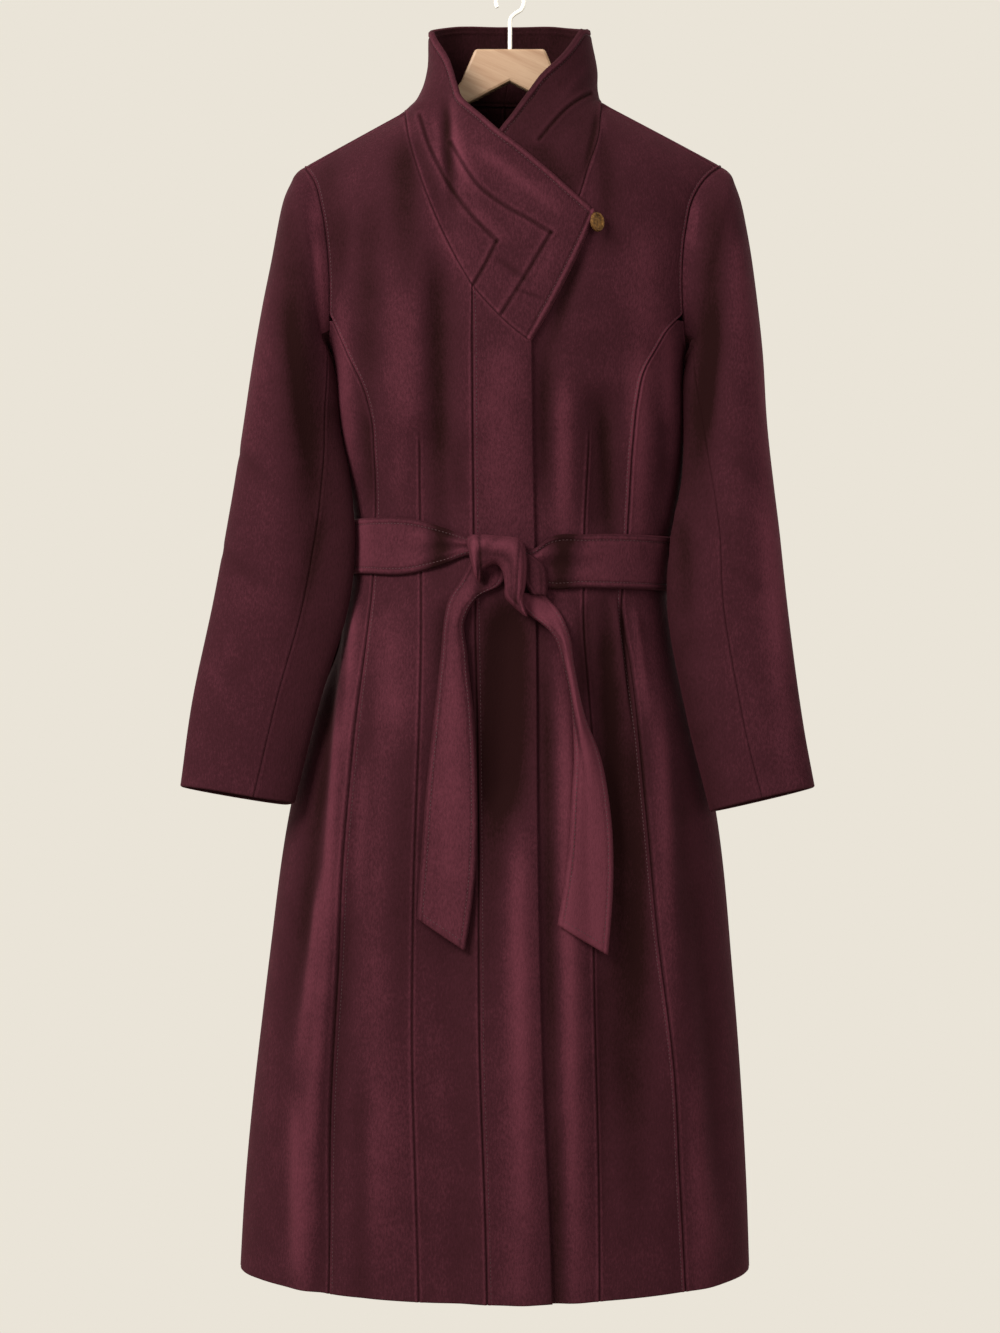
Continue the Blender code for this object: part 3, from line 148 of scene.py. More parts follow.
def melton(name, hollow, base, ridge):
    """Brushed wool in one colour, with painted shade in the hollows and painted light on the
    ridges; the pieces carry both in a point attribute, from -1 to 1."""
    wool, shader = new_material(name, {
        "Roughness": 0.92, "Specular IOR Level": 0.04, "Sheen Weight": 0.07,
        "Sheen Roughness": 0.45, "Sheen Tint": linear("#b4566a")})
    tree = wool.node_tree
    place = add_node(tree, "ShaderNodeTexCoord").outputs["Object"]
    nap_place = add_node(tree, "ShaderNodeMapping", [("Vector", place)],
                         Scale=(1 / NAP_WIDTH, 1 / NAP_WIDTH, 1 / NAP_LENGTH)).outputs[0]
    nap = add_node(tree, "ShaderNodeTexNoise", [("Vector", nap_place)], Scale=1.0, Detail=3.0,
                   Roughness=0.65).outputs["Fac"]
    cloud = add_node(tree, "ShaderNodeTexNoise", [("Vector", place)], Scale=1 / CLOUD,
                     Detail=2.0, Roughness=0.55).outputs["Fac"]
    # Painted light and shade of each piece: -1 is the darkest painted shade, 1 the palest
    # painted light.
    tone = add_node(tree, "ShaderNodeAttribute", attribute_name="painted_light_and_shade").outputs["Fac"]
    for source, share in ((nap, NAP_SHARE), (cloud, CLOUD_SHARE)):
        play = add_node(tree, "ShaderNodeMapRange", [("Value", source)], clamp=False,
                        To_Min=-share, To_Max=share).outputs[0]
        tone = add_node(tree, "ShaderNodeMath", [(0, tone), (1, play)],
                        operation="ADD").outputs[0]
    level = add_node(tree, "ShaderNodeMapRange", [("Value", tone)], From_Min=-1.0).outputs[0]
    ramp = add_node(tree, "ShaderNodeValToRGB", [("Fac", level)])
    ramp.color_ramp.elements[0].color = linear(hollow)
    ramp.color_ramp.elements[1].color = linear(ridge)
    ramp.color_ramp.elements.new(0.5).color = linear(base)
    tree.links.new(ramp.outputs["Color"], shader.inputs["Base Color"])
    bump = add_node(tree, "ShaderNodeBump", [("Height", nap)], Strength=0.6, Distance=0.0009)
    tree.links.new(bump.outputs["Normal"], shader.inputs["Normal"])
    return wool


# The first colour is painted shade for the hollows, and the last is painted light for the
# ridges.
wine_melton = melton("wine_melton", "#1a090a", "#30151c", "#522833")
# Polyester sewing thread, a shade darker than the wool and a little glossier.
wine_thread = new_material("wine_thread", {"Base Color": linear("#34171e"),
                                           "Roughness": 0.6})[0]


# ---- Centre fronts and placket ------------------------------------------------------------
# Two fronts cut from shoulder to hem and a placket band on the wearer's right front, which
# laps over the left and hides the fastening. Each is one layer of melton with its seams
# pressed open and stitched down along one side.
CLOTH = 0.0025             # one layer
SEAM_GAP = 0.0001          # between two pieces that are sewn together
NECK_GAP = -0.0006         # round the neck and armholes they overlap, and let no light through
LAP_GAP = 0.0012           # between a piece and the one that it laps over
HEM = -1.232               # at centre front, below the hook
HEM_RISE = 0.008           # the hem is higher at the sides than at the centre
HEM_RISE_TOP = -1.00       # the height at which the rise fades out, above the hem
HEM_REACH = 0.24           # from the middle of the hem to its side
ARMPIT = -0.356
ROLL = 0.11                # depth below the shoulder line where the roll-over ends
SECTION_POWER = 2.15       # 2 is an ellipse; more is squarer
NECK_BLEND = 0.25          # share of the neck's depth in which it runs into the body
SHOULDER_BLEND = 0.01      # the two shoulder lines run together in a curve this deep
UPWARD = 0.3               # the shoulders' outer side is also their upper side
FORWARD_SEAM_ANGLE = 18.0  # where on the armhole the shoulder seam lies, from the top
UNDERLAP = -0.004          # the left front runs on to here from the placket's seam
UNDERLAP_DIP = 0.0012      # and lies back this much under the placket
UNDERLAP_RAMP = (0.008, -0.006)     # from the placket's edge
LAP_RAMP = (-0.026, -0.002)   # before the placket's seam, where the right front rises

# Neck and tip of each shoulder line: x and height. Then the sections of body and neck.
SHOULDER_RIGHT = ((-0.1008, -0.1190), (-0.1980, -0.1715))
SHOULDER_LEFT = ((0.0874, -0.1104), (0.2035, -0.1710))
BODY = (
    # z,     right,   left,   front, back
    (-0.100, -0.2400, 0.2500, 0.088, 0.078),
    (-0.165, -0.2250, 0.2360, 0.094, 0.083),
    (-0.185, -0.2170, 0.2180, 0.096, 0.084),
    (-0.207, -0.2090, 0.2020, 0.098, 0.085),
    (-0.238, -0.1980, 0.1890, 0.101, 0.087),
    (-0.281, -0.1915, 0.1830, 0.103, 0.087),
    (-0.318, -0.1850, 0.1775, 0.104, 0.087),
    (-0.338, -0.1780, 0.1725, 0.104, 0.086),
    (-0.356, -0.1720, 0.1680, 0.103, 0.085),
    (-0.406, -0.1665, 0.1675, 0.098, 0.080),
    (-0.452, -0.1590, 0.1665, 0.090, 0.074),
    (-0.507, -0.1495, 0.1600, 0.081, 0.068),
    (-0.560, -0.1510, 0.1500, 0.081, 0.069),
    (-0.620, -0.1660, 0.1570, 0.089, 0.077),
    (-0.780, -0.2090, 0.1955, 0.103, 0.090),
    (-0.950, -0.2325, 0.2135, 0.112, 0.098),
    (-1.140, -0.2530, 0.2260, 0.119, 0.104),
    (-1.260, -0.2600, 0.2300, 0.123, 0.107),
)
NECK = (
    (-0.010, -0.0785, 0.0730, 0.056, 0.059),
    (-0.050, -0.0785, 0.0785, 0.062, 0.060),
    (-0.080, -0.0800, 0.0840, 0.068, 0.062),
    (-0.1000, -0.0860, 0.0846, 0.073, 0.064),
    (-0.1104, -0.0920, 0.0874, 0.075, 0.066),
    (-0.1190, -0.1008, 0.0935, 0.076, 0.067),
    (-0.1270, -0.1065, 0.0990, 0.077, 0.067),
    (-0.150, -0.1120, 0.1080, 0.079, 0.066),
    (-0.200, -0.1180, 0.1130, 0.070, 0.050),
    (-0.300, -0.1200, 0.1150, 0.000, 0.000),
    (-1.300, -0.1200, 0.1150, 0.000, 0.000),
)
# Seams and edges that run up the coat: height and x.
ARMHOLE_RIGHT = ((-0.356, -0.1720), (-0.338, -0.1712), (-0.318, -0.1705), (-0.260, -0.1726),
                 (-0.217, -0.1790), (-0.189, -0.1870), (-0.1715, -0.1980))
ARMHOLE_LEFT = ((-0.356, 0.1680), (-0.338, 0.1655), (-0.318, 0.1630), (-0.281, 0.1615),
                (-0.238, 0.1655), (-0.207, 0.1735), (-0.185, 0.1880), (-0.1710, 0.2035))
PRINCESS_RIGHT = ((-1.260, -0.168), (-1.054, -0.167), (-0.930, -0.160), (-0.824, -0.154),
                  (-0.707, -0.144), (-0.589, -0.131), (-0.511, -0.127), (-0.454, -0.1285),
                  (-0.415, -0.1310), (-0.392, -0.1370), (-0.364, -0.1485), (-0.338, -0.1600),
                  (-0.318, -0.1705))
PRINCESS_LEFT = ((-1.260, 0.164), (-1.131, 0.157), (-1.035, 0.152), (-0.895, 0.136),
                 (-0.789, 0.127), (-0.648, 0.1135), (-0.586, 0.1050), (-0.525, 0.1105),
                 (-0.441, 0.1145), (-0.401, 0.1180), (-0.376, 0.1230), (-0.350, 0.1370),
                 (-0.335, 0.1460), (-0.318, 0.1630))
PLACKET_SEAM = ((-1.260, -0.0205), (-1.167, -0.0225), (-1.000, -0.0280), (-0.870, -0.0290),
                (-0.454, -0.0340), (-0.250, -0.0354))
FRONT_EDGE = ((-1.260, 0.0380), (-1.167, 0.0350), (-1.054, 0.0297), (-0.885, 0.0252),
              (-0.586, 0.0228), (-0.430, 0.0199), (-0.330, 0.0185))
DART_RIGHT = ((-0.423, -0.0848), (-0.511, -0.0840), (-0.635, -0.0827), (-0.870, -0.0890),
              (-1.001, -0.0900), (-1.167, -0.0855), (-1.260, -0.0830))
DART_LEFT = ((-0.423, 0.0750), (-0.587, 0.0684), (-0.730, 0.0770), (-0.933, 0.0775),
             (-1.100, 0.0810), (-1.260, 0.0820))
DART_TOP = -0.423
DART_FADE = 0.03
PANEL_TIP = -0.318         # height at which the lengthwise seams reach the armholes
# The neck seam: x and height.
NECK_SEAM_RIGHT = ((-0.0945, -0.157), (-0.0830, -0.197), (-0.0680, -0.236),
                   (-0.0520, -0.270), (-0.0354, -0.298))
NECK_SEAM_PLACKET = ((-0.0354, -0.298), (-0.0207, -0.3155), (-0.0020, -0.3345),
                     (0.0183, -0.3505))
NECK_SEAM_LEFT = ((0.0830, -0.154), (0.0720, -0.190), (0.0610, -0.222), (0.0446, -0.254),
                  (0.0245, -0.290), (-0.0010, -0.322), (-0.0310, -0.3475))
# Large folds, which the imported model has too.
FRONT_FOLDS = (
    # x top,  x end,  z top,  z end,  width, height
    (-0.0900, -0.095, -0.180, -0.460, 0.022, 0.004),
    (-0.0600, -0.070, -0.260, -0.480, 0.016, -0.005),
    (0.0820, 0.090, -0.380, -0.540, 0.018, -0.007),
    (0.0300, 0.036, -0.330, -0.500, 0.014, -0.003),
    (-0.1420, -0.196, -0.570, -1.300, 0.014, 0.008),
    (-0.1300, -0.182, -0.600, -1.300, 0.010, -0.006),
    (-0.0050, -0.004, -0.580, -0.800, 0.024, -0.008),
    (0.0080, 0.012, -0.760, -1.320, 0.016, 0.005),
    (0.0480, 0.062, -0.560, -1.320, 0.016, 0.006),
    (0.0900, 0.110, -0.560, -1.120, 0.024, -0.007),
    (0.1200, 0.190, -0.590, -1.300, 0.016, 0.007),
    (-0.1000, -0.125, -0.590, -1.250, 0.022, 0.005),
    (-0.0550, -0.055, -0.600, -1.300, 0.022, -0.005),
)
BACK_FOLDS = (
    (-0.0400, -0.060, -0.560, -1.300, 0.024, 0.008),
    (0.0300, 0.050, -0.560, -1.300, 0.024, 0.008),
    (-0.0800, -0.130, -0.560, -1.300, 0.022, -0.007),
    (0.0720, 0.118, -0.560, -1.300, 0.022, -0.007),
    (-0.1050, -0.195, -0.570, -1.300, 0.020, 0.007),
    (0.0980, 0.180, -0.570, -1.300, 0.020, 0.007),
    (-0.0550, -0.075, -0.200, -0.500, 0.022, -0.005),
    (0.0480, 0.068, -0.200, -0.500, 0.022, -0.005),
)
# Creases of the cloth between the large folds, as they hang here: where each starts and
# ends, half its width, how far it stands out, and its painted light (negative: painted shade).
FRONT_CREASES = (
    # x top,  x end,  z top,  z end,  width,  height,  shade
    (-0.1012, -0.0902, -0.137, -0.342, 0.0156, -0.0025, -0.85),
    (-0.1305, -0.1342, -0.205, -0.470, 0.0138, -0.0015, -0.70),
    (-0.1726, -0.1690, -0.150, -0.342, 0.0129, -0.0010, -0.45),
    (-0.0719, -0.0627, -0.232, -0.626, 0.0092, -0.0020, -0.65),
    (-0.0096, -0.0023, -0.315, -0.681, 0.0239,  0.0010,  0.30),
    (-0.1580, -0.1561, -0.287, -0.553, 0.0083,  0.0015,  0.50),
    (-0.0719, -0.0407, -0.187, -0.342, 0.0110,  0.0015,  0.25),
    (-0.1332, -0.1241, -0.223, -0.452, 0.0221,  0.0015,  0.20),
    (-0.1561, -0.1598, -0.214, -0.315, 0.0074, -0.0015, -0.40),
    ( 0.0664,  0.0298, -0.260, -0.381, 0.0074, -0.0020, -0.75),
    ( 0.0325,  0.0325, -0.347, -0.527, 0.0074, -0.0015, -0.60),
    ( 0.0481,  0.0508, -0.361, -0.590, 0.0101,  0.0012,  0.55),
    ( 0.1278,  0.1324, -0.214, -0.480, 0.0221,  0.0020,  0.30),
    ( 0.0875,  0.0985, -0.397, -0.571, 0.0064, -0.0025, -0.65),
    ( 0.1195,  0.1214, -0.333, -0.608, 0.0110,  0.0015,  0.60),
    ( 0.1470,  0.1525, -0.306, -0.590, 0.0074,  0.0010,  0.50),
    ( 0.1443,  0.1498, -0.406, -0.516, 0.0074, -0.0015, -0.50),
    (-0.1378, -0.1277, -0.402, -0.522, 0.0064, -0.0025, -0.70),
    (-0.1516, -0.1470, -0.333, -0.498, 0.0074,  0.0012,  0.20),
    (-0.1012, -0.1030, -0.434, -0.525, 0.0083,  0.0012,  0.20),
    (-0.0481, -0.0462, -0.434, -0.525, 0.0083, -0.0012, -0.30),
    (-0.1442, -0.1534, -0.575, -0.773, 0.0046,  0.0030,  0.60),
    (-0.1552, -0.1708, -0.672, -0.919, 0.0064,  0.0030,  0.55),
    (-0.1735, -0.2010, -0.828, -1.066, 0.0074,  0.0035,  0.70),
    (-0.1992, -0.1955, -1.038, -1.249, 0.0083,  0.0030,  0.50),
    (-0.1644, -0.1799, -0.567, -0.828, 0.0083, -0.0050, -1.00),
    (-0.1763, -0.2001, -0.718, -1.011, 0.0101, -0.0030, -0.80),
    (-0.1928, -0.2221, -0.846, -1.066, 0.0110, -0.0025, -0.35),
    (-0.1479, -0.1644, -0.626, -0.883, 0.0055, -0.0020, -0.50),
    (-0.1525, -0.1827, -0.846, -1.203, 0.0064, -0.0018, -0.40),
    (-0.1131, -0.1131, -0.580, -0.754, 0.0202,  0.0015,  0.20),
    (-0.0591, -0.0627, -0.579, -0.699, 0.0092, -0.0025, -0.60),
    (-0.0023, -0.0105, -0.553, -0.864, 0.0212, -0.0040, -1.35),
    (-0.0096, -0.0224, -0.681, -1.002, 0.0138, -0.0020, -0.45),
    ( 0.0060,  0.0142, -0.754, -1.240, 0.0110,  0.0020,  0.40),
    ( 0.0325,  0.0417, -0.580, -1.258, 0.0064, -0.0030, -0.90),
    ( 0.0417,  0.0463, -1.029, -1.597, 0.0074, -0.0020, -0.90),
    (-0.0646, -0.0646, -0.901, -1.414, 0.0129,  0.0010,  0.30),
    (-0.1378, -0.1360, -0.983, -1.414, 0.0092, -0.0010, -0.35),
    ( 0.0527,  0.0573, -0.626, -1.240, 0.0083,  0.0020,  0.40),
    ( 0.0701,  0.0682, -0.582, -0.727, 0.0074, -0.0020, -0.60),
    ( 0.0902,  0.1076, -0.553, -0.965, 0.0101, -0.0030, -0.80),
    ( 0.1095,  0.1186, -0.846, -1.249, 0.0156, -0.0015, -0.40),
    ( 0.0966,  0.1150, -0.579, -0.699, 0.0037,  0.0025,  0.30),
    ( 0.1150,  0.1296, -0.582, -0.722, 0.0046,  0.0025,  0.35),
    ( 0.1021,  0.1204, -0.580, -0.736, 0.0022, -0.0045, -1.30),
    ( 0.1406,  0.1479, -0.672, -0.864, 0.0055,  0.0010,  0.20),
    ( 0.1186,  0.1241, -0.663, -1.047, 0.0110, -0.0025, -0.90),
    ( 0.1607,  0.1571, -0.681, -1.341, 0.0129, -0.0020, -0.50),
    ( 0.1736,  0.1992, -0.800, -1.212, 0.0101, -0.0020, -0.40),
    (-0.1360, -0.1470, -0.718, -0.919, 0.0074,  0.0015,  0.50),
    (-0.0975, -0.1067, -0.672, -1.093, 0.0166, -0.0010, -0.50),
    ( 0.0875,  0.0930, -0.135, -0.296, 0.0083, -0.0010, -0.60),
    ( 0.0838,  0.0856, -0.901, -1.249, 0.0074, -0.0015, -0.35),
    (-0.0508, -0.0536, -0.892, -1.240, 0.0110,  0.0008,  0.15),
    (-0.2221, -0.2312, -0.892, -1.212, 0.0092,  0.0008,  0.10),
)
BACK_CREASES = (
    # x top,  x end,  z top,  z end,  width,  height,  shade
    (-0.0900, -0.1000, -0.150, -0.420, 0.0120, -0.0020, -0.40),
    ( 0.0800,  0.0900, -0.150, -0.420, 0.0120, -0.0020, -0.40),
    (-0.0300, -0.0350, -0.180, -0.480, 0.0140,  0.0015,  0.20),
    ( 0.0250,  0.0300, -0.180, -0.480, 0.0140,  0.0015,  0.20),
    (-0.1300, -0.1350, -0.360, -0.520, 0.0090, -0.0022, -0.50),
    ( 0.1200,  0.1250, -0.360, -0.520, 0.0090, -0.0022, -0.50),
    (-0.1150, -0.1500, -0.570, -1.290, 0.0090,  0.0030,  0.45),
    (-0.1300, -0.1700, -0.570, -1.290, 0.0090, -0.0030, -0.55),
    ( 0.1050,  0.1400, -0.570, -1.290, 0.0090,  0.0030,  0.45),
    ( 0.1200,  0.1600, -0.570, -1.290, 0.0090, -0.0030, -0.55),
    (-0.0550, -0.0750, -0.570, -1.290, 0.0120, -0.0025, -0.45),
    ( 0.0450,  0.0650, -0.570, -1.290, 0.0120, -0.0025, -0.45),
    (-0.0200, -0.0250, -0.570, -1.290, 0.0100,  0.0020,  0.30),
    ( 0.0080,  0.0120, -0.570, -1.290, 0.0100,  0.0020,  0.30),
)
FOLD_START = 0.22          # shares of a fold's run: it comes in over this much,
FOLD_END = 0.80            # and fades out from here,
CREASE_END = 0.45          # or, where it is a crease, from here


def eased_run(start, leave, end, arrive, t):
    """Smooth run from start to end as t goes from 0 to 1, with its speeds at both ends."""
    return ((2 * t**3 - 3 * t**2 + 1) * start + (t**3 - 2 * t**2 + t) * leave
            + (3 * t**2 - 2 * t**3) * end + (t**3 - t**2) * arrive)


def read_curve(rows, at):
    """Smooth curve through rows of (key, value, ...), read at an array of keys."""
    table = np.array(sorted(rows), dtype=float)
    keys, values = table[:, 0], table[:, 1:]
    slopes = np.gradient(values, keys, axis=0)
    at = np.clip(np.asarray(at, dtype=float), keys[0], keys[-1])
    low = np.clip(np.searchsorted(keys, at) - 1, 0, len(keys) - 2)
    span = (keys[low + 1] - keys[low])[..., None]
    t = (at - keys[low])[..., None] / span
    return eased_run(values[low], span * slopes[low], values[low + 1],
                     span * slopes[low + 1], t)


def along_points(points, at):
    """Smooth curve through points, read at places that count from 0 at the first."""
    return read_curve([(k,) + tuple(point) for k, point in enumerate(points)], at)


def seam(rows, z):
    """Where a seam lies at a height."""
    return read_curve(rows, z)[..., 0]


def ease(start, end, value):
    """0 before start, 1 past end and smooth between, whichever of them is the larger."""
    t = np.clip((value - start) / (end - start), 0.0, 1.0)
    return t * t * (3.0 - 2.0 * t)


def bell(value, middle, width):
    """1 at the middle, and fading away on both sides of it."""
    return np.exp(-(((value - middle) / width) ** 2))


def bells(value, terms):
    """Sum of bells, each given as its amount, middle and half width."""
    return sum(amount * bell(value, middle, width) for amount, middle, width in terms)


def unit(vectors):
    return vectors / (np.linalg.norm(vectors, axis=-1, keepdims=True) + 1e-12)


def mixed(start, end, share):
    return start * (1 - share) + end * share


def soft_max(a, b, reach):
    """The larger of two depths, with the step between them rounded over reach."""
    mix = np.clip(0.5 + 0.5 * (a - b) / np.maximum(reach, 1e-9), 0.0, 1.0)
    return b + (a - b) * mix + reach * mix * (1.0 - mix)


def shoulder_line(x):
    """Height of the shoulder line, carried on straight under the collar."""
    lines = []
    for neck, tip in (SHOULDER_RIGHT, SHOULDER_LEFT):
        slope = (tip[1] - neck[1]) / (tip[0] - neck[0])
        lines.append(neck[1] + slope * (x - neck[0]))
    return -soft_max(-lines[0], -lines[1], SHOULDER_BLEND)


def depth_at(rows, x, z, facing):
    """Depth of a section in front (facing -1) or behind (1) at one x."""
    right, left, front, back = np.moveaxis(read_curve(rows, z), -1, 0)
    out = np.abs(x - (left + right) / 2) / ((left - right) / 2)
    shape = np.clip(1.0 - out**SECTION_POWER, 0.0, 1.0) ** (1.0 / SECTION_POWER)
    return np.where(facing < 0, front, back) * shape


def coat_surface(x, drop_way, facing):
    """Point on the coat, drop_way below the shoulder line, or over it where negative."""
    size = np.abs(drop_way)
    turned = np.minimum(size / ROLL, 1.0) * math.pi / 2
    drop = np.where(size < ROLL, ROLL * (1.0 - np.cos(turned)), size)
    side = np.where(drop_way < 0, -facing, facing)
    z = shoulder_line(x) - drop
    neck = depth_at(NECK, x, z, side)
    depth = soft_max(depth_at(BODY, x, z, side) * np.sin(turned), neck, NECK_BLEND * neck)
    return np.stack([x + 0 * z, side * depth, z], axis=-1)


def drop_way_at(x, z):
    """The coat_surface coordinate of a height."""
    drop = shoulder_line(x) - z
    turned = np.arccos(np.clip(1.0 - drop / ROLL, -1.0, 1.0))
    return np.where(drop < ROLL, ROLL * turned / (math.pi / 2), drop)


def outward(surface, u, v, point, centre=None):
    """Unit normals of a surface at u and v, pointing away from the inside of the coat."""
    step = 2e-4
    normal = unit(np.cross(surface(u + step, v) - surface(u - step, v),
                           surface(u, v + step) - surface(u, v - step)))
    if centre is None:
        away = point * np.array([1.0, 1.0, 0.0])
        away[..., 2] = UPWARD * np.clip(point[..., 2] - ARMPIT, 0.0, UPWARD)
    else:
        away = point - centre
    return np.where(np.sum(normal * away, axis=-1, keepdims=True) < 0, -normal, normal)


def along_fold(x, z, fold, end=FOLD_END):
    """How much of a fold there is at a point, from the first five columns of its row."""
    x_top, x_end, z_top, z_end, width = fold[:5]
    run = (z_top - z) / (z_top - z_end)
    fade = ease(0.0, FOLD_START, run) * ease(1.0, FOLD_END, run)
    if end < FOLD_END:
        fade = fade * ease(1.0, end, run)
    return fade * bell(x, mixed(x_top, x_end, run), width)


def fold_at(x, z, facing):
    """How far the folds stand out from the plain form."""
    total = np.zeros(np.broadcast(x, z).shape)
    for side, folds in ((-1, FRONT_FOLDS), (1, BACK_FOLDS)):
        for fold in folds:
            total = total + np.where(facing == side, fold[5] * along_fold(x, z, fold), 0.0)
    return total


def crease_at(x, z, creases):
    """How far the creases stand out, and the painted light and shade that they carry."""
    height = np.zeros(np.broadcast(x, z).shape)
    shade = np.zeros(height.shape)
    for crease in creases:
        here = along_fold(x, z, crease, CREASE_END)
        height = height + crease[5] * here
        shade = shade + crease[6] * here
    return height, shade


def lap_at(x, z):
    """Share of the lap's lift: nothing away from the placket, all of it on the placket."""
    fold = seam(PLACKET_SEAM, z)
    return ease(fold + LAP_RAMP[0], fold + LAP_RAMP[1], x)


def with_hem_rise(x, z):
    """A height on the level hem as it hangs, drawn up towards the sides."""
    return z + ease(HEM_RISE_TOP, HEM, z) * HEM_RISE * np.clip((x / HEM_REACH) ** 2, 0.0, 1.0)


def armhole_point(armhole, angle):
    """x and height of the armhole seam, angle in degrees from the top."""
    bottom, top = armhole[0][0], armhole[-1][0]
    z = (top + bottom) / 2 + (top - bottom) / 2 * np.cos(np.radians(angle))
    return seam(armhole, z), z


def forward_way(armhole):
    """How far in front of the shoulder line the shoulder seam lies."""
    return float(drop_way_at(*armhole_point(armhole, FORWARD_SEAM_ANGLE)))


# Distances from a seam at which the cloth's surface is followed. The cloth rolls into the
# seam and stands up over the pressed-open allowance under it, with painted shade in the seam
# and a painted highlight on the lip beside it. Terms are amount, middle and half width.
NEAR_SEAM = np.array([0.0, 0.5, 1.1, 1.8, 2.6, 3.4, 4.4, 5.6, 7.5, 10.5]) / 1000
SEAM_RELIEF = ((-0.0009, 0.0, 0.0009), (0.0007, 0.0021, 0.0014))
SEAM_SHADE = ((-0.55, 0.0, 0.0009), (0.30, 0.0024, 0.0014))
STITCH_SINK = ((-0.0006, 0.0036, 0.0008),)
STITCH_COLUMN = 5          # the row of topstitching, 3.4 mm from the seam
FOLD_SHADE = 60.0          # how much a large fold's height tells in its shade, per metre
INSIDE_SHADE = -0.8        # painted shade: the inside of the coat is painted the darkest
ROW_SPACING = 0.005
COLUMN_SPACING = 0.0045
FIRST_ROW = 0.011          # above the hem
LAST_ROW = 0.002           # below the armpit
COAT_LEVELS = np.concatenate([HEM + NEAR_SEAM[:-1],
                              np.arange(HEM + FIRST_ROW, ARMPIT - LAST_ROW, ROW_SPACING)])


def add_seam(height, shade, distance, sewn=False, deep=1.0, dark=1.0):
    """The cloth's height and shade with those of a seam at a distance from it."""
    relief = bells(distance, SEAM_RELIEF + (STITCH_SINK if sewn else ()))
    return height + deep * relief, shade + dark * bells(distance, SEAM_SHADE)


def hanging_relief(point, facing):
    """Height and shade that the folds and creases give a panel."""
    x, z = point[..., 0], point[..., 2]
    height = fold_at(x, z, facing)
    crease, shade = crease_at(x, z, FRONT_CREASES if facing < 0 else BACK_CREASES)
    return height + crease, shade + FOLD_SHADE * height


def follow(surface, u, v, marks_at=(), spacing=COLUMN_SPACING):
    """Re-cut a grid of surface coordinates so that its columns stand at true distances from
    both edges and from the marks, close together near each and even between them."""
    step = np.linalg.norm(np.diff(surface(u, v), axis=1), axis=-1)
    run = np.concatenate([np.zeros((len(u), 1)), np.cumsum(step, axis=1)], axis=1)
    marks = [run[:, :1]]
    for mark_u in marks_at:
        marks.append(np.array([[np.interp(m, row_u, row)] for m, row_u, row in
                               zip(mark_u, u * np.sign(u[0, -1] - u[0, 0]), run)]))
    marks = np.concatenate(marks + [run[:, -1:]], axis=1)
    wanted = []
    for start, end in zip(marks.T[:-1, :, None], marks.T[1:, :, None]):
        room = end - start
        near = NEAR_SEAM[None] * np.minimum(1.0, room / (3.0 * NEAR_SEAM[-1]))
        count = max(3, int(np.median(room) / spacing))
        inner = np.linspace(0, 1, count + 2)[None, 1:-1]
        middle = near[:, -1:] + (room - 2 * near[:, -1:]) * inner
        wanted += [start + near, start + middle, end - near[:, :0:-1]]
    wanted = np.concatenate(wanted + [marks[:, -1:]], axis=1)
    new_u = np.array([np.interp(w, r, a) for w, r, a in zip(wanted, run, u)])
    new_v = np.array([np.interp(w, r, a) for w, r, a in zip(wanted, run, v)])
    return new_u, new_v, wanted, marks


def distance_to(points, line):
    """Distance from each point to a line of points."""
    best = np.full(points.shape[:-1], np.inf)
    for a, d in zip(line[:-1], np.diff(line, axis=0)):
        square = max(np.sum(d * d), 1e-12)
        share = np.clip(np.sum((points - a) * d, axis=-1) / square, 0.0, 1.0)
        best = np.minimum(best, np.linalg.norm(points - a - share[..., None] * d, axis=-1))
    return best


RIM = 0.45                 # share of its thickness by which a turned edge bulges


def cloth_shell(name, outer, inner, shade, turned):
    """Closed piece of cloth between two grids, with painted light and shade at each outer point.
    Where an edge is turned (low, high, start or end) the wall bulges round it, as cloth does
    at a fold; the rest are cut square."""
    rows, columns = outer.shape[:2]
    ring = [(0, j) for j in range(columns)] + [(i, columns - 1) for i in range(1, rows)]
    ring += [(rows - 1, j) for j in range(columns - 2, -1, -1)]
    ring += [(i, 0) for i in range(rows - 2, 0, -1)]
    middle = (outer + inner) / 2
    thick = np.linalg.norm(outer - inner, axis=-1, keepdims=True)
    push = np.zeros_like(outer)
    every = slice(None)
    for edge, here, inside in (("low", (0, every), (1, every)),
                               ("high", (-1, every), (-2, every)),
                               ("start", (every, 0), (every, 1)),
                               ("end", (every, -1), (every, -2))):
        if edge in turned:
            push[here] += unit(middle[here] - middle[inside]) * thick[here] * RIM
    rim_points = np.array([middle[k] + push[k] for k in ring])
    count = rows * columns
    verts = np.concatenate([outer.reshape(-1, 3), inner.reshape(-1, 3), rim_points])
    index = np.arange(count).reshape(rows, columns)
    quads = np.stack([index[:-1, :-1], index[:-1, 1:], index[1:, 1:], index[1:, :-1]],
                     axis=-1).reshape(-1, 4)
    loop = np.array([index[k] for k in ring])
    after = np.roll(loop, -1)
    rim = 2 * count + np.arange(len(ring))
    rim_after = np.roll(rim, -1)
    faces = np.concatenate([quads, quads[:, ::-1] + count,
                            np.stack([after, loop, rim, rim_after], axis=-1),
                            np.stack([rim_after, rim, loop + count, after + count], axis=-1)])
    normal = np.cross(outer[1, 0] - outer[0, 0], outer[0, 1] - outer[0, 0])
    if np.dot(normal, (outer - inner)[0, 0]) > 0:
        faces = faces[:, ::-1]
    mesh = new_mesh(name, verts.tolist(), faces.tolist())
    mesh.shade_smooth()
    # Painted light and shade at each point: as given outside, and the darkest painted shade
    # inside.
    painted_shading = mesh.attributes.new("painted_light_and_shade", "FLOAT", "POINT")
    on_rim = np.array([shade[k] for k in ring])
    values = np.concatenate([shade.ravel(), np.full(count, INSIDE_SHADE), on_rim])
    painted_shading.data.foreach_set("value", values.astype(np.float32))
    return new_object(name, mesh)


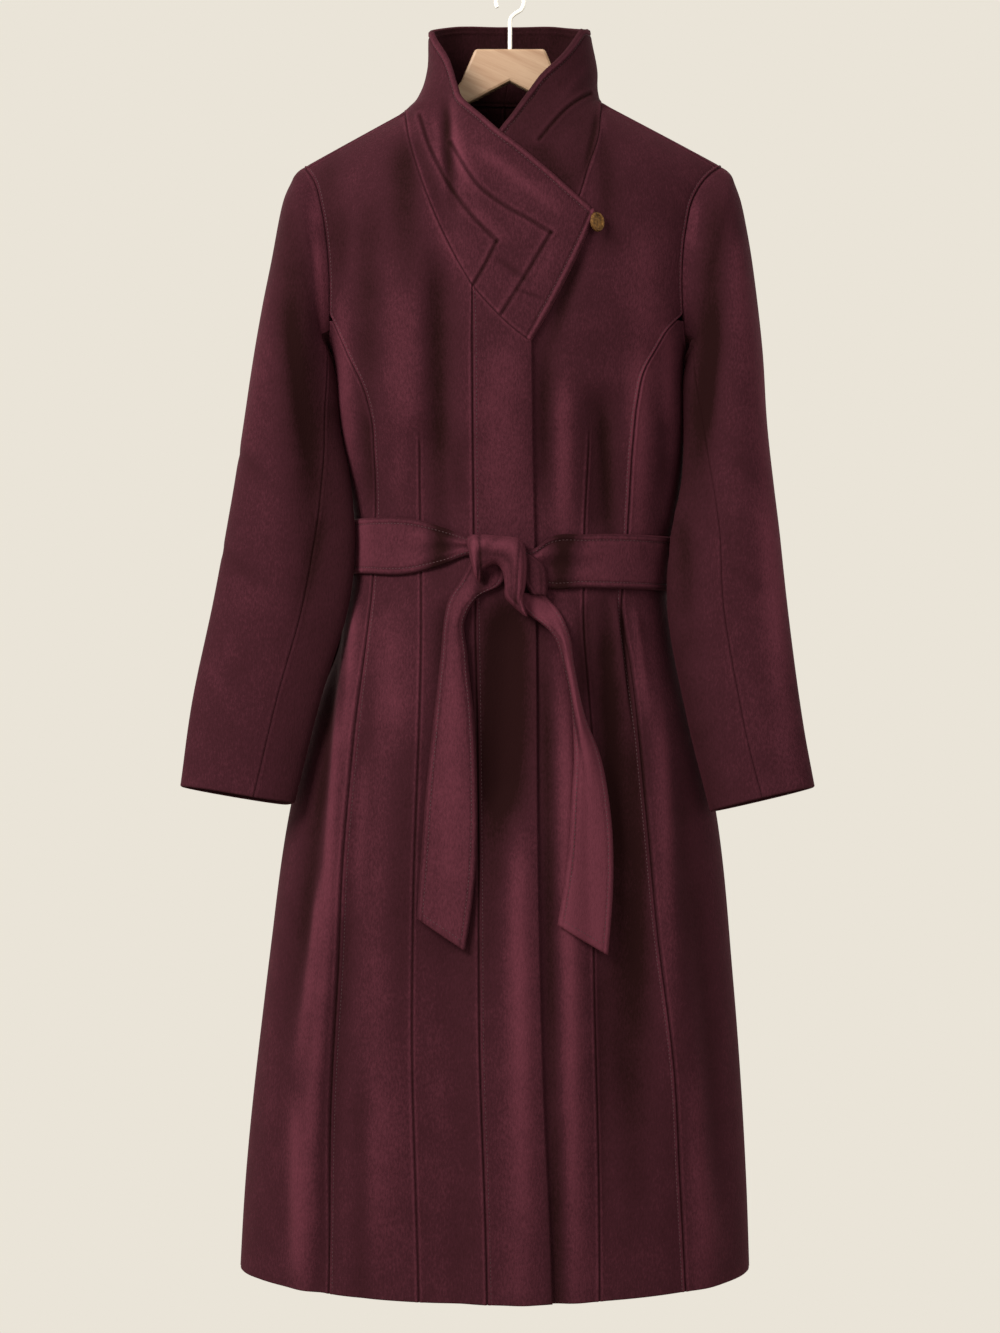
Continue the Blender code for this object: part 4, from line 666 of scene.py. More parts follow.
thread_runs = []           # rows of topstitching on the piece in hand: points and normals
STITCH_LENGTH = 0.0026
STITCH_GAP = 0.0009
THREAD = 0.00033           # radius
# A stitch's four rings: share of its length, size, and how many radii it is pulled in.
STITCH_RINGS = ((0.0, 0.35, 1.0), (0.25, 1.0, 0.0), (0.75, 1.0, 0.0), (1.0, 0.35, 1.0))


def sew(name):
    """A plump stitch at each step along the rows of topstitching of the piece in hand."""
    verts, faces = [], []
    for points, normals in thread_runs:
        steps = np.linalg.norm(np.diff(points, axis=0), axis=-1)
        along = np.concatenate([[0.0], np.cumsum(steps)])
        for start in np.arange(STITCH_GAP, along[-1] - STITCH_LENGTH,
                               STITCH_LENGTH + STITCH_GAP):
            ends = [np.array([np.interp(s, along, points[:, k]) for k in range(3)])
                    for s in (start, start + STITCH_LENGTH)]
            lean = np.array([np.interp(start, along, normals[:, k]) for k in range(3)])
            across = unit(np.cross(ends[1] - ends[0], lean))
            first = len(verts)
            for share, size, sunk in STITCH_RINGS:
                centre = mixed(ends[0], ends[1], share) - lean * THREAD * sunk
                verts += [tuple(centre + size * THREAD * (a * across + b * lean))
                          for a, b in ((-1, 0), (0, 1), (1, 0), (0, -1))]
            for low in (first, first + 4, first + 8):
                faces += [(low + k, low + (k + 1) % 4, low + 4 + (k + 1) % 4, low + 4 + k)
                          for k in range(4)]
            faces += [tuple(range(first + 3, first - 1, -1)),
                      tuple(range(first + 12, first + 16))]
    thread_runs.clear()
    stitches = new_object(name, new_mesh(name, verts, faces))
    stitches.data.shade_smooth()
    stitches.data.materials.append(wine_thread)
    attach(stitches, "root")
    return stitches


def hang_cloth(piece, node):
    """The piece is melton, takes its node's place and is sewn where it has topstitching."""
    piece.data.materials.append(wine_melton)
    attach(piece, "root")
    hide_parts(node)
    stitches = [sew(f"{node}_topstitching")] if thread_runs else []


HOLD = 6                   # how fast the outer edge's shape fades across a panel
ROWS_NEAR_TOP = np.array([0.010, 0.006, 0.0035, 0.002, 0.0008])   # shares of the rise
LEAST_RISE = 0.003
NEAR_TOP = 0.02            # the top seam's relief reaches down this far
CORNER = 0.99              # share of the way out to the neck's point where the two seams meet
NECK_SLANT = 0.7           # the overlap at a front's neck points up and sideways alike
ARMHOLE_STEPS = 90
SHOULDER_STEPS = 30
OVER_STEPS = 12            # from the forward seam to the shoulder line
NECK_STEPS = 110
SHORT_NECK_STEPS = 60      # of the placket and the back


def centre_panel(name, facing, low_start, low_end, high_start, high_end, top, lifted, dart=None,
                 stitched=(True, True), turned=("low",)):
    """Panel with level rows up to the armpit, then a patch up to its top edge. A side that
    is stitched True has topstitching, False a plain seam, and None is an edge."""
    share = np.linspace(0, 1, top.shape[0])
    bottom_x = mixed(high_start[0, 0], high_end[0, 0], share)
    bottom = np.stack([bottom_x, shoulder_line(bottom_x) - ARMPIT], axis=-1)
    t = ((high_start[:, 1] - bottom[0, 1]) / (top[0, 1] - bottom[0, 1]))[:, None, None]
    hold = (1 - share[None, :, None]) ** HOLD
    upper = (mixed(bottom[None], top[None], t)
             + mixed(high_end[:, None], high_start[:, None], hold)
             - (1 - t) * mixed(bottom[-1], bottom[0], hold) - t * mixed(top[-1], top[0], hold))
    x = mixed(low_start(COAT_LEVELS)[:, None], low_end(COAT_LEVELS)[:, None], share)
    hem = with_hem_rise(x, COAT_LEVELS[:, None])
    lower = np.stack([x, shoulder_line(x) - hem], axis=-1)
    x, way = np.moveaxis(np.concatenate([lower, upper]), -1, 0)

    def surface(u, v):
        return coat_surface(u, v, facing)

    darts = ()
    if dart:
        z = surface(x, way)[:, len(share) // 2, 2]
        darts = (seam(dart, z) * np.sign(x[0, -1] - x[0, 0]),)
    x, way, run, marks = follow(surface, x, way, darts)
    point = surface(x, way)
    normal = outward(surface, x, way, point)
    z = point[..., 2]
    height, shade = hanging_relief(point, facing)
    if lifted:
        height = height + lap_at(x, z) * (CLOTH + LAP_GAP)
    elif facing < 0:
        edge = seam(FRONT_EDGE, z)
        dip = ease(edge + UNDERLAP_RAMP[0], edge + UNDERLAP_RAMP[1], x)
        height = height - dip * UNDERLAP_DIP
    for k, sewn in zip((0, -1), stitched):
        if sewn is not None:
            height, shade = add_seam(height, shade, np.abs(run - marks[:, k, None]), sewn)
    if dart:
        fade = ease(DART_TOP, DART_TOP - DART_FADE, z)
        distance = np.abs(run - marks[:, 1, None])
        height, shade = add_seam(height, shade, distance, False, fade, fade)
    top_line = coat_surface(top[::3, 0], top[::3, 1], facing)
    near_top = z > top_line[:, 2].min() - NEAR_TOP
    distance = np.full(z.shape, 1.0)
    distance[near_top] = distance_to(point[near_top], top_line)
    height, shade = add_seam(height, shade, distance)
    outer = point + normal * height[..., None]
    for k, sewn in zip((STITCH_COLUMN, -1 - STITCH_COLUMN), stitched):
        if sewn:
            thread_runs.append((outer[:, k], normal[:, k]))
    return cloth_shell(name, outer, outer - normal * CLOTH, shade, turned)


def way_points(x, z):
    """Points at x and heights as (x, way below the shoulder line)."""
    return np.stack([x, drop_way_at(x, z)], axis=-1)


def outer_edge(armhole, seam_rows, facing, side):
    """Edge of a centre panel: up its seam to the armhole, then up to the shoulder seam."""
    stop = FORWARD_SEAM_ANGLE if facing < 0 else 0.0
    x, z = armhole_point(armhole, np.linspace(180.0, stop, ARMHOLE_STEPS))
    x = np.where(z < PANEL_TIP, seam(seam_rows, z), x) - side * SEAM_GAP / 2
    edge = way_points(x, z)
    if facing > 0:
        ahead = np.linspace(0.0, SEAM_GAP - forward_way(armhole), OVER_STEPS)[1:]
        past = np.minimum(np.abs(ahead) / forward_way(armhole), 1.0) * FORWARD_SEAM_ANGLE
        past_x = armhole_point(armhole, past)[0] - side * SEAM_GAP / 2
        edge = np.concatenate([edge, np.stack([past_x, ahead], axis=-1)])
    # A few more rows near the top edge, so that the cloth can roll into its seam.
    shares = rise_of(edge)
    low = shares[shares < 1 - ROWS_NEAR_TOP[0] - LEAST_RISE]
    wanted = np.unique(np.concatenate([low, 1 - ROWS_NEAR_TOP, [1.0]]))
    return np.stack([np.interp(wanted, shares, edge[:, k]) for k in (0, 1)], axis=-1)


def rise_of(edge):
    """Share of an edge's whole rise at each of its points."""
    return (edge[:, 1] - edge[0, 1]) / (edge[-1, 1] - edge[0, 1])


def neck_way(line, count):
    """Even points along the smooth curve through a row of the neck seam."""
    return way_points(*along_points(line, np.linspace(0, len(line) - 1.0, count)).T)


def joined_top(outer_end, corner, neck):
    """Top edge of a panel: the shoulder seam, then the neck seam."""
    share = np.linspace(0, 1, SHOULDER_STEPS)[:-1, None]
    return np.concatenate([mixed(outer_end, np.array([corner]), share), neck])


def front_corner(shoulder, armhole):
    """Where shoulder seam and neck seam meet: x, way and the point as x and height."""
    x, way = shoulder[0][0] * CORNER, forward_way(armhole)
    return (x, way), (x, float(coat_surface(np.array(x), np.array(way), -1)[2]))


def front_panel(name, side, armhole, seam_rows, shoulder, neck_line, reach, dart, stitched,
                turned):
    """Front from its princess seam to reach past the placket's seam."""
    def inner_edge(z):
        return seam(PLACKET_SEAM, z) + reach

    start = outer_edge(armhole, seam_rows, -1, side)
    neck = neck_way([front_corner(shoulder, armhole)[1]] + list(neck_line), NECK_STEPS)
    top = joined_top(start[-1], neck[0], neck) + NECK_SLANT * NECK_GAP * np.array([side, 1.0])
    top[0] = start[-1]
    z = ARMPIT + (neck_line[-1][1] - ARMPIT) * rise_of(start)
    end = way_points(inner_edge(z), z)
    top[-1] = end[-1]
    return centre_panel(name, -1, lambda z: seam(seam_rows, z) - side * SEAM_GAP / 2, inner_edge,
                        start, end, top, side < 0, dart, stitched, turned)


front_right = front_panel("front_right_cloth", -1, ARMHOLE_RIGHT, PRINCESS_RIGHT, SHOULDER_RIGHT,
                          NECK_SEAM_RIGHT, -SEAM_GAP / 2, DART_RIGHT, (True, False), ("low",))
hang_cloth(front_right, "right_front")

band_rise = rise_of(outer_edge(ARMHOLE_RIGHT, PRINCESS_RIGHT, -1, -1))
start_z, end_z = (ARMPIT + (line[-1][1] - ARMPIT) * band_rise
                  for line in (NECK_SEAM_RIGHT, NECK_SEAM_PLACKET))
band_start = way_points(seam(PLACKET_SEAM, start_z) + SEAM_GAP / 2, start_z)
band_end = way_points(seam(FRONT_EDGE, end_z), end_z)
band_top = neck_way(NECK_SEAM_PLACKET, SHORT_NECK_STEPS)
band_top[:, 1] += NECK_GAP
band_top[0], band_end[-1] = band_start[-1], band_top[-1]
placket = centre_panel(
    "placket_cloth", -1, lambda z: seam(PLACKET_SEAM, z) + SEAM_GAP / 2,
    lambda z: seam(FRONT_EDGE, z), band_start, band_end, band_top, True,
    stitched=(True, None), turned=("low", "end"))
hang_cloth(placket, "placket")

front_left = front_panel("front_left_cloth", 1, ARMHOLE_LEFT, PRINCESS_LEFT, SHOULDER_LEFT,
                         NECK_SEAM_LEFT, UNDERLAP, DART_LEFT, (True, None), ("low", "end"))
hang_cloth(front_left, "left_front")


# ---- Side fronts --------------------------------------------------------------------------
# A narrow melton panel on each side, from the armhole to the hem, sewn to the centre front
# along the princess seam and to the back at the side.
SIDE_SEAM_ANGLE = -0.004   # front and back overlap by this much on each side, in radians
SIDE_COLUMNS = 41
TIP_ANGLES = np.append(np.linspace(180.0, 132.0, 17), 131.0)   # round the armhole to the tip
TIP_END_ANGLE = 126.0


def signed_power(value, power):
    return np.sign(value) * np.abs(value) ** power


def ring_point(rows, angle, z):
    """x and depth of a section, at an angle that is 0 in front and 90 at the left side."""
    right, left, front, back = np.moveaxis(read_curve(rows, z), -1, 0)
    power = 2.0 / SECTION_POWER
    x = (left + right) / 2 + (left - right) / 2 * signed_power(np.sin(angle), power)
    return x, np.where(np.cos(angle) > 0, front, back) * np.abs(np.cos(angle)) ** power


def ring_angle(rows, x, z, facing, side=None):
    """The angle of a point at x; side is given where the sign of x doesn't tell it."""
    right, left = np.moveaxis(read_curve(rows, z), -1, 0)[:2]
    out = np.clip((x - (left + right) / 2) / ((left - right) / 2), -1.0, 1.0)
    angle = np.arcsin(signed_power(out, SECTION_POWER / 2))
    side = np.sign(out) if side is None else side
    return np.where(facing < 0, angle, side * math.pi - angle)


def side_surface(angle, z):
    """Point on the body below the armholes."""
    x, depth = ring_point(BODY, angle, z)
    return np.stack([x, -np.sign(np.cos(angle)) * depth, z + 0 * x], axis=-1)


def side_panel(name, facing, side, seam_rows, armhole):
    """Panel between a lengthwise seam and the side seam, pointed at the armhole."""
    tip = armhole_point(armhole, TIP_ANGLES)[1]
    z = np.concatenate([COAT_LEVELS, tip])
    seam_x = seam(seam_rows, z) + side * SEAM_GAP / 2
    end_x, end_z = armhole_point(armhole, TIP_END_ANGLE)
    stop = seam(seam_rows, tip[-2]) + side * SEAM_GAP / 2
    along = (tip[-1] - tip[-2]) / (end_z - tip[-2])
    seam_x[-1] = stop + (end_x - stop) * along + side * SEAM_GAP
    start = ring_angle(BODY, seam_x, with_hem_rise(seam_x, z), facing)
    at_armhole = ring_angle(BODY, seam(armhole, z) - side * SEAM_GAP, z, facing)
    at_side = side * (math.pi / 2 + facing * SIDE_SEAM_ANGLE)
    end = np.where(z > ARMPIT + 1e-6, at_armhole, at_side)
    angle = mixed(start[:, None], end[:, None], np.linspace(0, 1, SIDE_COLUMNS)[None])
    level = np.repeat(z[:, None], SIDE_COLUMNS, axis=1)
    level = with_hem_rise(side_surface(angle, level)[..., 0], level)
    angle, level, run, marks = follow(side_surface, angle, level)
    point = side_surface(angle, level)
    normal = outward(side_surface, angle, level, point)
    height, shade = hanging_relief(point, facing)
    for k in (0, -1):
        height, shade = add_seam(height, shade, np.abs(run - marks[:, k, None]))
    outer = point + normal * height[..., None]
    return cloth_shell(name, outer, outer - normal * CLOTH, shade, ("low",))


side_front_right = side_panel("side_front_right_cloth", -1, -1, PRINCESS_RIGHT, ARMHOLE_RIGHT)
hang_cloth(side_front_right, "right_side_front")
side_front_left = side_panel("side_front_left_cloth", -1, 1, PRINCESS_LEFT, ARMHOLE_LEFT)
hang_cloth(side_front_left, "left_side_front")


# ---- Back ---------------------------------------------------------------------------------
# Two centre panels meet in a seam down the middle, with a side panel beyond each, all
# melton; the centre panels reach over the shoulders to the seam in front.
CENTRE_BACK = -0.006
# Seams up the back, height and x; then its neck seam from the centre out, x and height.
BACK_SEAM_RIGHT = ((-1.260, -0.150), (-0.950, -0.135), (-0.700, -0.108), (-0.560, -0.088),
                   (-0.460, -0.094), (-0.390, -0.118), (-0.345, -0.150), (-0.318, -0.1705))
BACK_SEAM_LEFT = ((-1.260, 0.135), (-0.950, 0.122), (-0.700, 0.098), (-0.560, 0.078),
                  (-0.460, 0.084), (-0.390, 0.108), (-0.345, 0.141), (-0.318, 0.1630))
BACK_NECK_RIGHT = ((CENTRE_BACK, -0.0980), (-0.0450, -0.1000), (-0.0820, -0.1085))
BACK_NECK_LEFT = ((CENTRE_BACK, -0.0980), (0.0350, -0.0995), (0.0700, -0.1040))


def back_panel(name, side, seam_rows, armhole, shoulder, back_neck):
    """Centre back panel, up over the shoulder to the seam in front of it."""
    start = outer_edge(armhole, seam_rows, 1, side)
    corner = (shoulder[0][0] * CORNER + side * NECK_GAP, start[-1, 1])
    ridge = (shoulder[0][0] + side * NECK_GAP, shoulder[0][1])
    neck = neck_way([ridge] + list(back_neck[::-1]), SHORT_NECK_STEPS)
    neck[1:, 1] += NECK_GAP
    centre_x = CENTRE_BACK + side * SEAM_GAP / 2
    over = np.linspace(0, 1, OVER_STEPS)[:-1, None]
    to_neck = np.concatenate([mixed(np.array([corner]), neck[:1], over), neck])
    top = joined_top(start[-1], corner, to_neck)
    top[-1, 0] = centre_x
    heights = ARMPIT + (back_neck[0][1] - ARMPIT) * rise_of(start)
    end = way_points(centre_x + 0 * heights, heights)
    end[-1] = top[-1]
    return centre_panel(name, 1, lambda z: seam(seam_rows, z) - side * SEAM_GAP / 2,
                        lambda z: centre_x + 0 * z, start, end, top, False,
                        stitched=(True, False))


back_right = back_panel("back_right_cloth", -1, BACK_SEAM_RIGHT, ARMHOLE_RIGHT, SHOULDER_RIGHT,
                        BACK_NECK_RIGHT)
hang_cloth(back_right, "back_right")
back_left = back_panel("back_left_cloth", 1, BACK_SEAM_LEFT, ARMHOLE_LEFT, SHOULDER_LEFT,
                       BACK_NECK_LEFT)
hang_cloth(back_left, "back_left")
side_back_right = side_panel("side_back_right_cloth", 1, -1, BACK_SEAM_RIGHT, ARMHOLE_RIGHT)
hang_cloth(side_back_right, "back_side_right")
side_back_left = side_panel("side_back_left_cloth", 1, 1, BACK_SEAM_LEFT, ARMHOLE_LEFT)
hang_cloth(side_back_left, "back_side_left")


# ---- Collar -------------------------------------------------------------------------------
# Stand-up funnel collar of two layers of melton, sewn round the neck. The right half laps
# over the left in front as a wide flap, with a turned edge, topstitching along it, and the
# sewn lines of the bands that it is built up from.
COLLAR_WALL = 0.0045
WALL_GROWS = 0.25          # share of its height in which it comes to that, from one layer
RIDGE_GAP = 0.0012
# Top edge of each half, from the centre back: x, height, and behind (1) or in front (-1).
COLLAR_TOP_RIGHT = (
    (-0.0040, -0.0240, 1), (-0.0400, -0.0250, 1), (-0.0640, -0.0300, 1),
    (-0.0768, -0.0455, -1), (-0.0735, -0.0520, -1), (-0.0610, -0.0750, -1),
    (-0.0500, -0.1080, -1), (-0.0320, -0.1354, -1), (-0.0124, -0.1543, -1),
    (0.0085, -0.1710, -1), (0.0345, -0.1930, -1), (0.0580, -0.2140, -1),
    (0.0771, -0.2311, -1))
COLLAR_TOP_LEFT = (
    (-0.0040, -0.0240, 1), (0.0360, -0.0250, 1), (0.0600, -0.0300, 1),
    (0.0748, -0.0440, -1), (0.0670, -0.0500, -1), (0.0384, -0.0883, -1),
    (0.0175, -0.1152, -1), (-0.0060, -0.1480, -1), (-0.0190, -0.1680, -1),
    (-0.0270, -0.1920, -1), (-0.0300, -0.2380, -1), (-0.0312, -0.3000, -1))
COLLAR_VALLEY = (-0.066, -0.135, 0.012, 0.035, 0.005)   # x, z, half width, half length, depth
COLLAR_COLUMNS = 230
COLLAR_ROWS = 56
COLLAR_HEIGHT = 0.09
COLLAR_START = NECK_GAP / 0.1       # share of its height: it starts just below the seam
COLLAR_MIDDLE = (0.11, 0.90)        # shares between which its rows are evenly spaced
COLLAR_THREAD_END = 12     # rows from the neck at which the flap's stitching stops
BACK_LAP = 0.0005          # the halves lap this much at the centre back
BACK_LAP_REACH = 0.3       # counted in points of the top edge
BACK_RADIUS = 0.08         # of the neck there
EDGE_STITCH = 0.0050       # topstitching this far inside an edge
EDGE_ROLL = (0.0014, 0.0026, 0.0018)   # height of the turned edge, its middle and half width
EDGE_SINK = 0.0012         # depth of its stitching
EDGE_SHADE = 0.45          # painted light on the turned edge and painted shade in its stitching, this much
# Sewn lines, as x and height; each row is one run between two sharp corners.
FLAP_LINES = (
    ((-0.0557, -0.1634), (-0.0437, -0.1864), (-0.0280, -0.2086), (-0.0050, -0.2261),
     (0.0162, -0.2380), (0.0374, -0.2509)),
    ((0.0374, -0.2509), (0.0153, -0.2887), (-0.0087, -0.3265)),
    ((-0.0852, -0.1321), (-0.0732, -0.1708), (-0.0538, -0.2095), (-0.0345, -0.2362),
     (-0.0124, -0.2592)),
    ((-0.0124, -0.2592), (-0.0216, -0.2777), (-0.0345, -0.2998)),
)
UNDER_LINES = (
    ((0.0757, -0.1084), (0.0516, -0.1307), (0.0266, -0.1622)),
    ((0.0887, -0.1622), (0.0794, -0.1854), (0.0692, -0.2123)),
)
LINE_STEPS = 160
# Each line is drawn in, and the band beside it stands proud: amount, middle, half width.
LINE_RELIEF = ((0.0007, 0.0030, 0.0022), (-0.0014, 0.0, 0.0011))
LINE_SHADE = ((-0.75, 0.0, 0.0015), (0.15, 0.0038, 0.0020))
FLAP_CREASES = (
    # x top,  x end,  z top,  z end,  width,  height,  shade
    (-0.0557, -0.0225, -0.139, -0.250, 0.0083,  0.0008,  0.40),
    (-0.0649, -0.0502, -0.108, -0.250, 0.0046, -0.0030, -1.10),
    (-0.0566, -0.0391, -0.114, -0.244, 0.0046,  0.0010,  0.35),
    (-0.0741, -0.0557, -0.125, -0.233, 0.0046,  0.0010,  0.30),
    (-0.0372,  0.0660, -0.165, -0.250, 0.0101,  0.0006,  0.40),
    (-0.0925, -0.0557, -0.149, -0.250, 0.0055, -0.0010, -0.45),
    (-0.0372,  0.0088, -0.225, -0.271, 0.0083,  0.0006,  0.25),
    (-0.0151,  0.0273, -0.272, -0.305, 0.0046, -0.0010, -0.40),
    ( 0.0015,  0.0383, -0.302, -0.316, 0.0037, -0.0010, -0.40),
    ( 0.0457,  0.0180, -0.253, -0.313, 0.0074,  0.0005,  0.20),
)
UNDER_CREASES = (
    # x top,  x end,  z top,  z end,  width,  height,  shade
    ( 0.0774,  0.0348, -0.074, -0.141, 0.0055,  0.0005,  0.30),
    ( 0.0219,  0.0644, -0.161, -0.232, 0.0110, -0.0010, -0.45),
    ( 0.0848,  0.0644, -0.122, -0.224, 0.0037, -0.0015, -0.70),
    ( 0.0598,  0.0459, -0.145, -0.182, 0.0074,  0.0005,  0.15),
)
FLAP_SHADE = 0.05
UNDER_SHADE = -0.35        # the under collar lies in the flap's shadow


def collar_surface(angle, z):
    """Point of the neck, where it meets the chest too; angle is 0 in front."""
    x, neck = ring_point(NECK, angle, z)
    facing = np.where(np.cos(angle) > 0, -1, 1)
    drop = shoulder_line(x) - z
    rolled = np.sin(np.arccos(np.clip(1.0 - drop / ROLL, 0.0, 1.0)))
    body = depth_at(BODY, x, z, facing) * rolled
    return np.stack([x, facing * soft_max(body, neck, NECK_BLEND * neck), z + 0 * x], axis=-1)


def collar_foot(index, back, front, side):
    """Angle and height of the neck seam: along the back, over the ridge, down the front."""
    split = len(back) - 1.0
    behind, ahead = along_points(back, index), along_points(front, index - split - 1)
    angle = np.where(index <= split, ring_angle(NECK, behind[:, 0], behind[:, 1], 1, side),
                     ring_angle(NECK, ahead[:, 0], ahead[:, 1], -1, side))
    z = np.where(index <= split, behind[:, 1], ahead[:, 1])
    ridge = (index > split) & (index < split + 1)
    ends = [float(ring_angle(NECK, *np.array(point), facing, side))
            for point, facing in ((back[-1], 1), (front[0], -1))]
    angle[ridge] = np.interp(index[ridge], [split, split + 1], ends)
    z[ridge] = np.interp(index[ridge], [split, split + 1], [back[-1][1], front[0][1]])
    return angle, z


def collar_half(name, side, back_neck, shoulder, armhole, front_neck, top, lines, creases, tone):
    """Half of the collar, fine enough for its sewn lines; the right one laps over."""
    over = side < 0
    index = np.linspace(0.0, len(top) - 1.0, COLLAR_COLUMNS)
    low_angle, low_z = collar_foot(
        index, list(back_neck) + [(shoulder[0][0], shoulder[0][1] + RIDGE_GAP)],
        [front_corner(shoulder, armhole)[1]] + list(front_neck), side)
    x, z, facing = np.array(top).T
    high_angle, high_z = along_points(
        list(zip(ring_angle(NECK, x, z, facing, side), z)), index).T
    near = NEAR_SEAM[:-1] / COLLAR_HEIGHT
    t = np.concatenate([near, np.linspace(*COLLAR_MIDDLE, COLLAR_ROWS), 1 - near[::-1]])
    t = mixed(COLLAR_START, 1.0, t[:, None])
    angle = mixed(low_angle, high_angle, t)
    angle += side * BACK_LAP / BACK_RADIUS * bell(index, 0.0, BACK_LAP_REACH)
    z = mixed(low_z, high_z, t)
    point = collar_surface(angle, z)
    normal = outward(collar_surface, angle, z, point)
    thick = CLOTH + (COLLAR_WALL - CLOTH) * ease(0.0, WALL_GROWS, t)
    in_front = np.where(np.cos(angle) > 0, 1.0, 0.0)
    to_front = ease(0.0, 0.5, np.cos(angle))
    lap = lap_at(point[..., 0], z)
    if over:
        x_middle, z_middle, half_width, half_length, depth = COLLAR_VALLEY
        height = in_front * lap * (thick + LAP_GAP) - depth * (
            bell(point[..., 0], x_middle, half_width) * bell(z, z_middle, half_length))
    else:
        height = in_front * (lap - 1.0) * (COLLAR_WALL + LAP_GAP)
    crease, shade = crease_at(point[..., 0], z, creases)
    height = height + (fold_at(point[..., 0], z, -1) + crease) * in_front
    shade = shade * in_front + tone * to_front

    for run in [point[-1], point[:, -1]] if over else [point[-1]]:
        distance = distance_to(point, run)
        rolled = bell(distance, *EDGE_ROLL[1:])
        sunk = bell(distance, EDGE_STITCH, STITCH_SINK[0][2])
        height = height + EDGE_ROLL[0] * to_front * rolled - EDGE_SINK * sunk
        shade = shade + EDGE_SHADE * (rolled - sunk)
    height, shade = add_seam(height, shade, distance_to(point, point[0]))
    outer = point + normal * height[..., None]
    flat = outer[..., (0, 2)]
    for line in lines:
        drawn = along_points(line, np.linspace(0, len(line) - 1.0, LINE_STEPS))
        distance = distance_to(flat, drawn)
        outer = outer + normal * (bells(distance, LINE_RELIEF) * in_front)[..., None]
        shade = shade + bells(distance, LINE_SHADE) * in_front
    if over:
        inside = np.argmin(np.abs(distance_to(point, point[:, -1]) - EDGE_STITCH), axis=1)
        pick = np.arange(COLLAR_THREAD_END, len(t) - COLLAR_THREAD_END)
        thread_runs.append((outer[pick, inside[pick]], normal[pick, inside[pick]]))
    inside = np.argmin(np.abs(distance_to(point, point[-1]) - EDGE_STITCH), axis=0)
    pick = np.arange(COLLAR_COLUMNS)
    thread_runs.append((outer[inside, pick], normal[inside, pick]))
    return cloth_shell(name, outer, outer - normal * thick[..., None], shade, ("high", "end"))


collar_right = collar_half("collar_right_cloth", -1, BACK_NECK_RIGHT, SHOULDER_RIGHT,
                           ARMHOLE_RIGHT, NECK_SEAM_RIGHT + NECK_SEAM_PLACKET[1:],
                           COLLAR_TOP_RIGHT, FLAP_LINES, FLAP_CREASES, FLAP_SHADE)
hang_cloth(collar_right, "collar_right")
collar_left = collar_half("collar_left_cloth", 1, BACK_NECK_LEFT, SHOULDER_LEFT, ARMHOLE_LEFT,
                          NECK_SEAM_LEFT, COLLAR_TOP_LEFT, UNDER_LINES, UNDER_CREASES,
                          UNDER_SHADE)
hang_cloth(collar_left, "collar_left")


# ---- Sleeves ------------------------------------------------------------------------------
# Two-piece sleeves of melton, set into the armholes: the top sleeve lies outside and in
# front, the under sleeve inside. Their seams are pressed flat, and their cuffs are open.
# Rows down the sleeve: its outer and inner edges, y of its middle, half its depth, how much
# higher its front is for that depth, and how far its inner side leans over the coat's.
SLEEVE_RIGHT = (
    # outer x, z,      inner x, z,       mid y,  half,  tilt, lean
    (-0.2075, -0.1820, -0.1740, -0.3610, 0.000, 0.062, 0.00, 0.0),
    (-0.2180, -0.2080, -0.1745, -0.3690, -0.001, 0.063, 0.00, 0.008),
    (-0.2286, -0.2640, -0.1740, -0.3900, -0.003, 0.062, 0.02, 0.0125),
    (-0.2410, -0.3370, -0.1725, -0.4300, -0.007, 0.058, 0.05, 0.0145),
    (-0.2533, -0.4200, -0.1700, -0.4800, -0.013, 0.052, 0.08, 0.0225),
    (-0.2670, -0.5050, -0.1660, -0.5400, -0.022, 0.046, 0.10, 0.0235),
    (-0.2810, -0.5870, -0.1700, -0.6050, -0.031, 0.040, 0.11, 0.02),
    (-0.3000, -0.6820, -0.1885, -0.6840, -0.041, 0.034, 0.12, 0.014),
    (-0.3104, -0.7620, -0.2095, -0.7790, -0.049, 0.030, 0.12, 0.011),
)
SLEEVE_LEFT = (
    (0.2135, -0.1830, 0.1700, -0.3610, 0.000, 0.062, 0.00, 0.0),
    (0.2227, -0.2120, 0.1705, -0.3690, -0.001, 0.063, 0.00, 0.006),
    (0.2320, -0.2700, 0.1710, -0.3900, -0.005, 0.062, 0.02, 0.0095),
    (0.2398, -0.3470, 0.1725, -0.4300, -0.011, 0.058, 0.05, 0.011),
    (0.2440, -0.4250, 0.1735, -0.4800, -0.019, 0.052, 0.08, 0.015),
    (0.2525, -0.5080, 0.1660, -0.5350, -0.031, 0.044, 0.11, 0.019),
    (0.2617, -0.6000, 0.1520, -0.6040, -0.042, 0.037, 0.12, 0.007),
    (0.2745, -0.7000, 0.1660, -0.6980, -0.054, 0.032, 0.12, 0.0),
    (0.2850, -0.7620, 0.1870, -0.7850, -0.061, 0.030, 0.12, 0.0),
)
LEAN_TURN = (155.0, 22.0)  # where round the sleeve, and half its width, in degrees
# Seams between top and under sleeve: share of the length, and degrees round the sleeve.
SLEEVE_SEAM_RIGHT = ((0.0, 144.0), (0.45, 134.0), (0.7, 122.0), (1.0, 113.0))
SLEEVE_SEAM_LEFT = ((0.0, 144.0), (0.45, 128.0), (0.7, 100.0), (1.0, 93.0))
SLEEVE_BACK_SEAM = ((0.0, 234.0), (1.0, 245.0))
SLEEVE_SEAM_TURN = 0.0012  # half the gap at a seam, in radians
SLEEVE_SEAM_EASE = (0.45, 0.30)     # shares of a seam's relief and shade
INNER_SHADE = (-0.45, 160.0, 32.0)  # darker against the coat: amount, degrees, half width
UNDER_ANGLES = (115.0, 158.0)       # round the armhole, where the sleeve's wall turns under
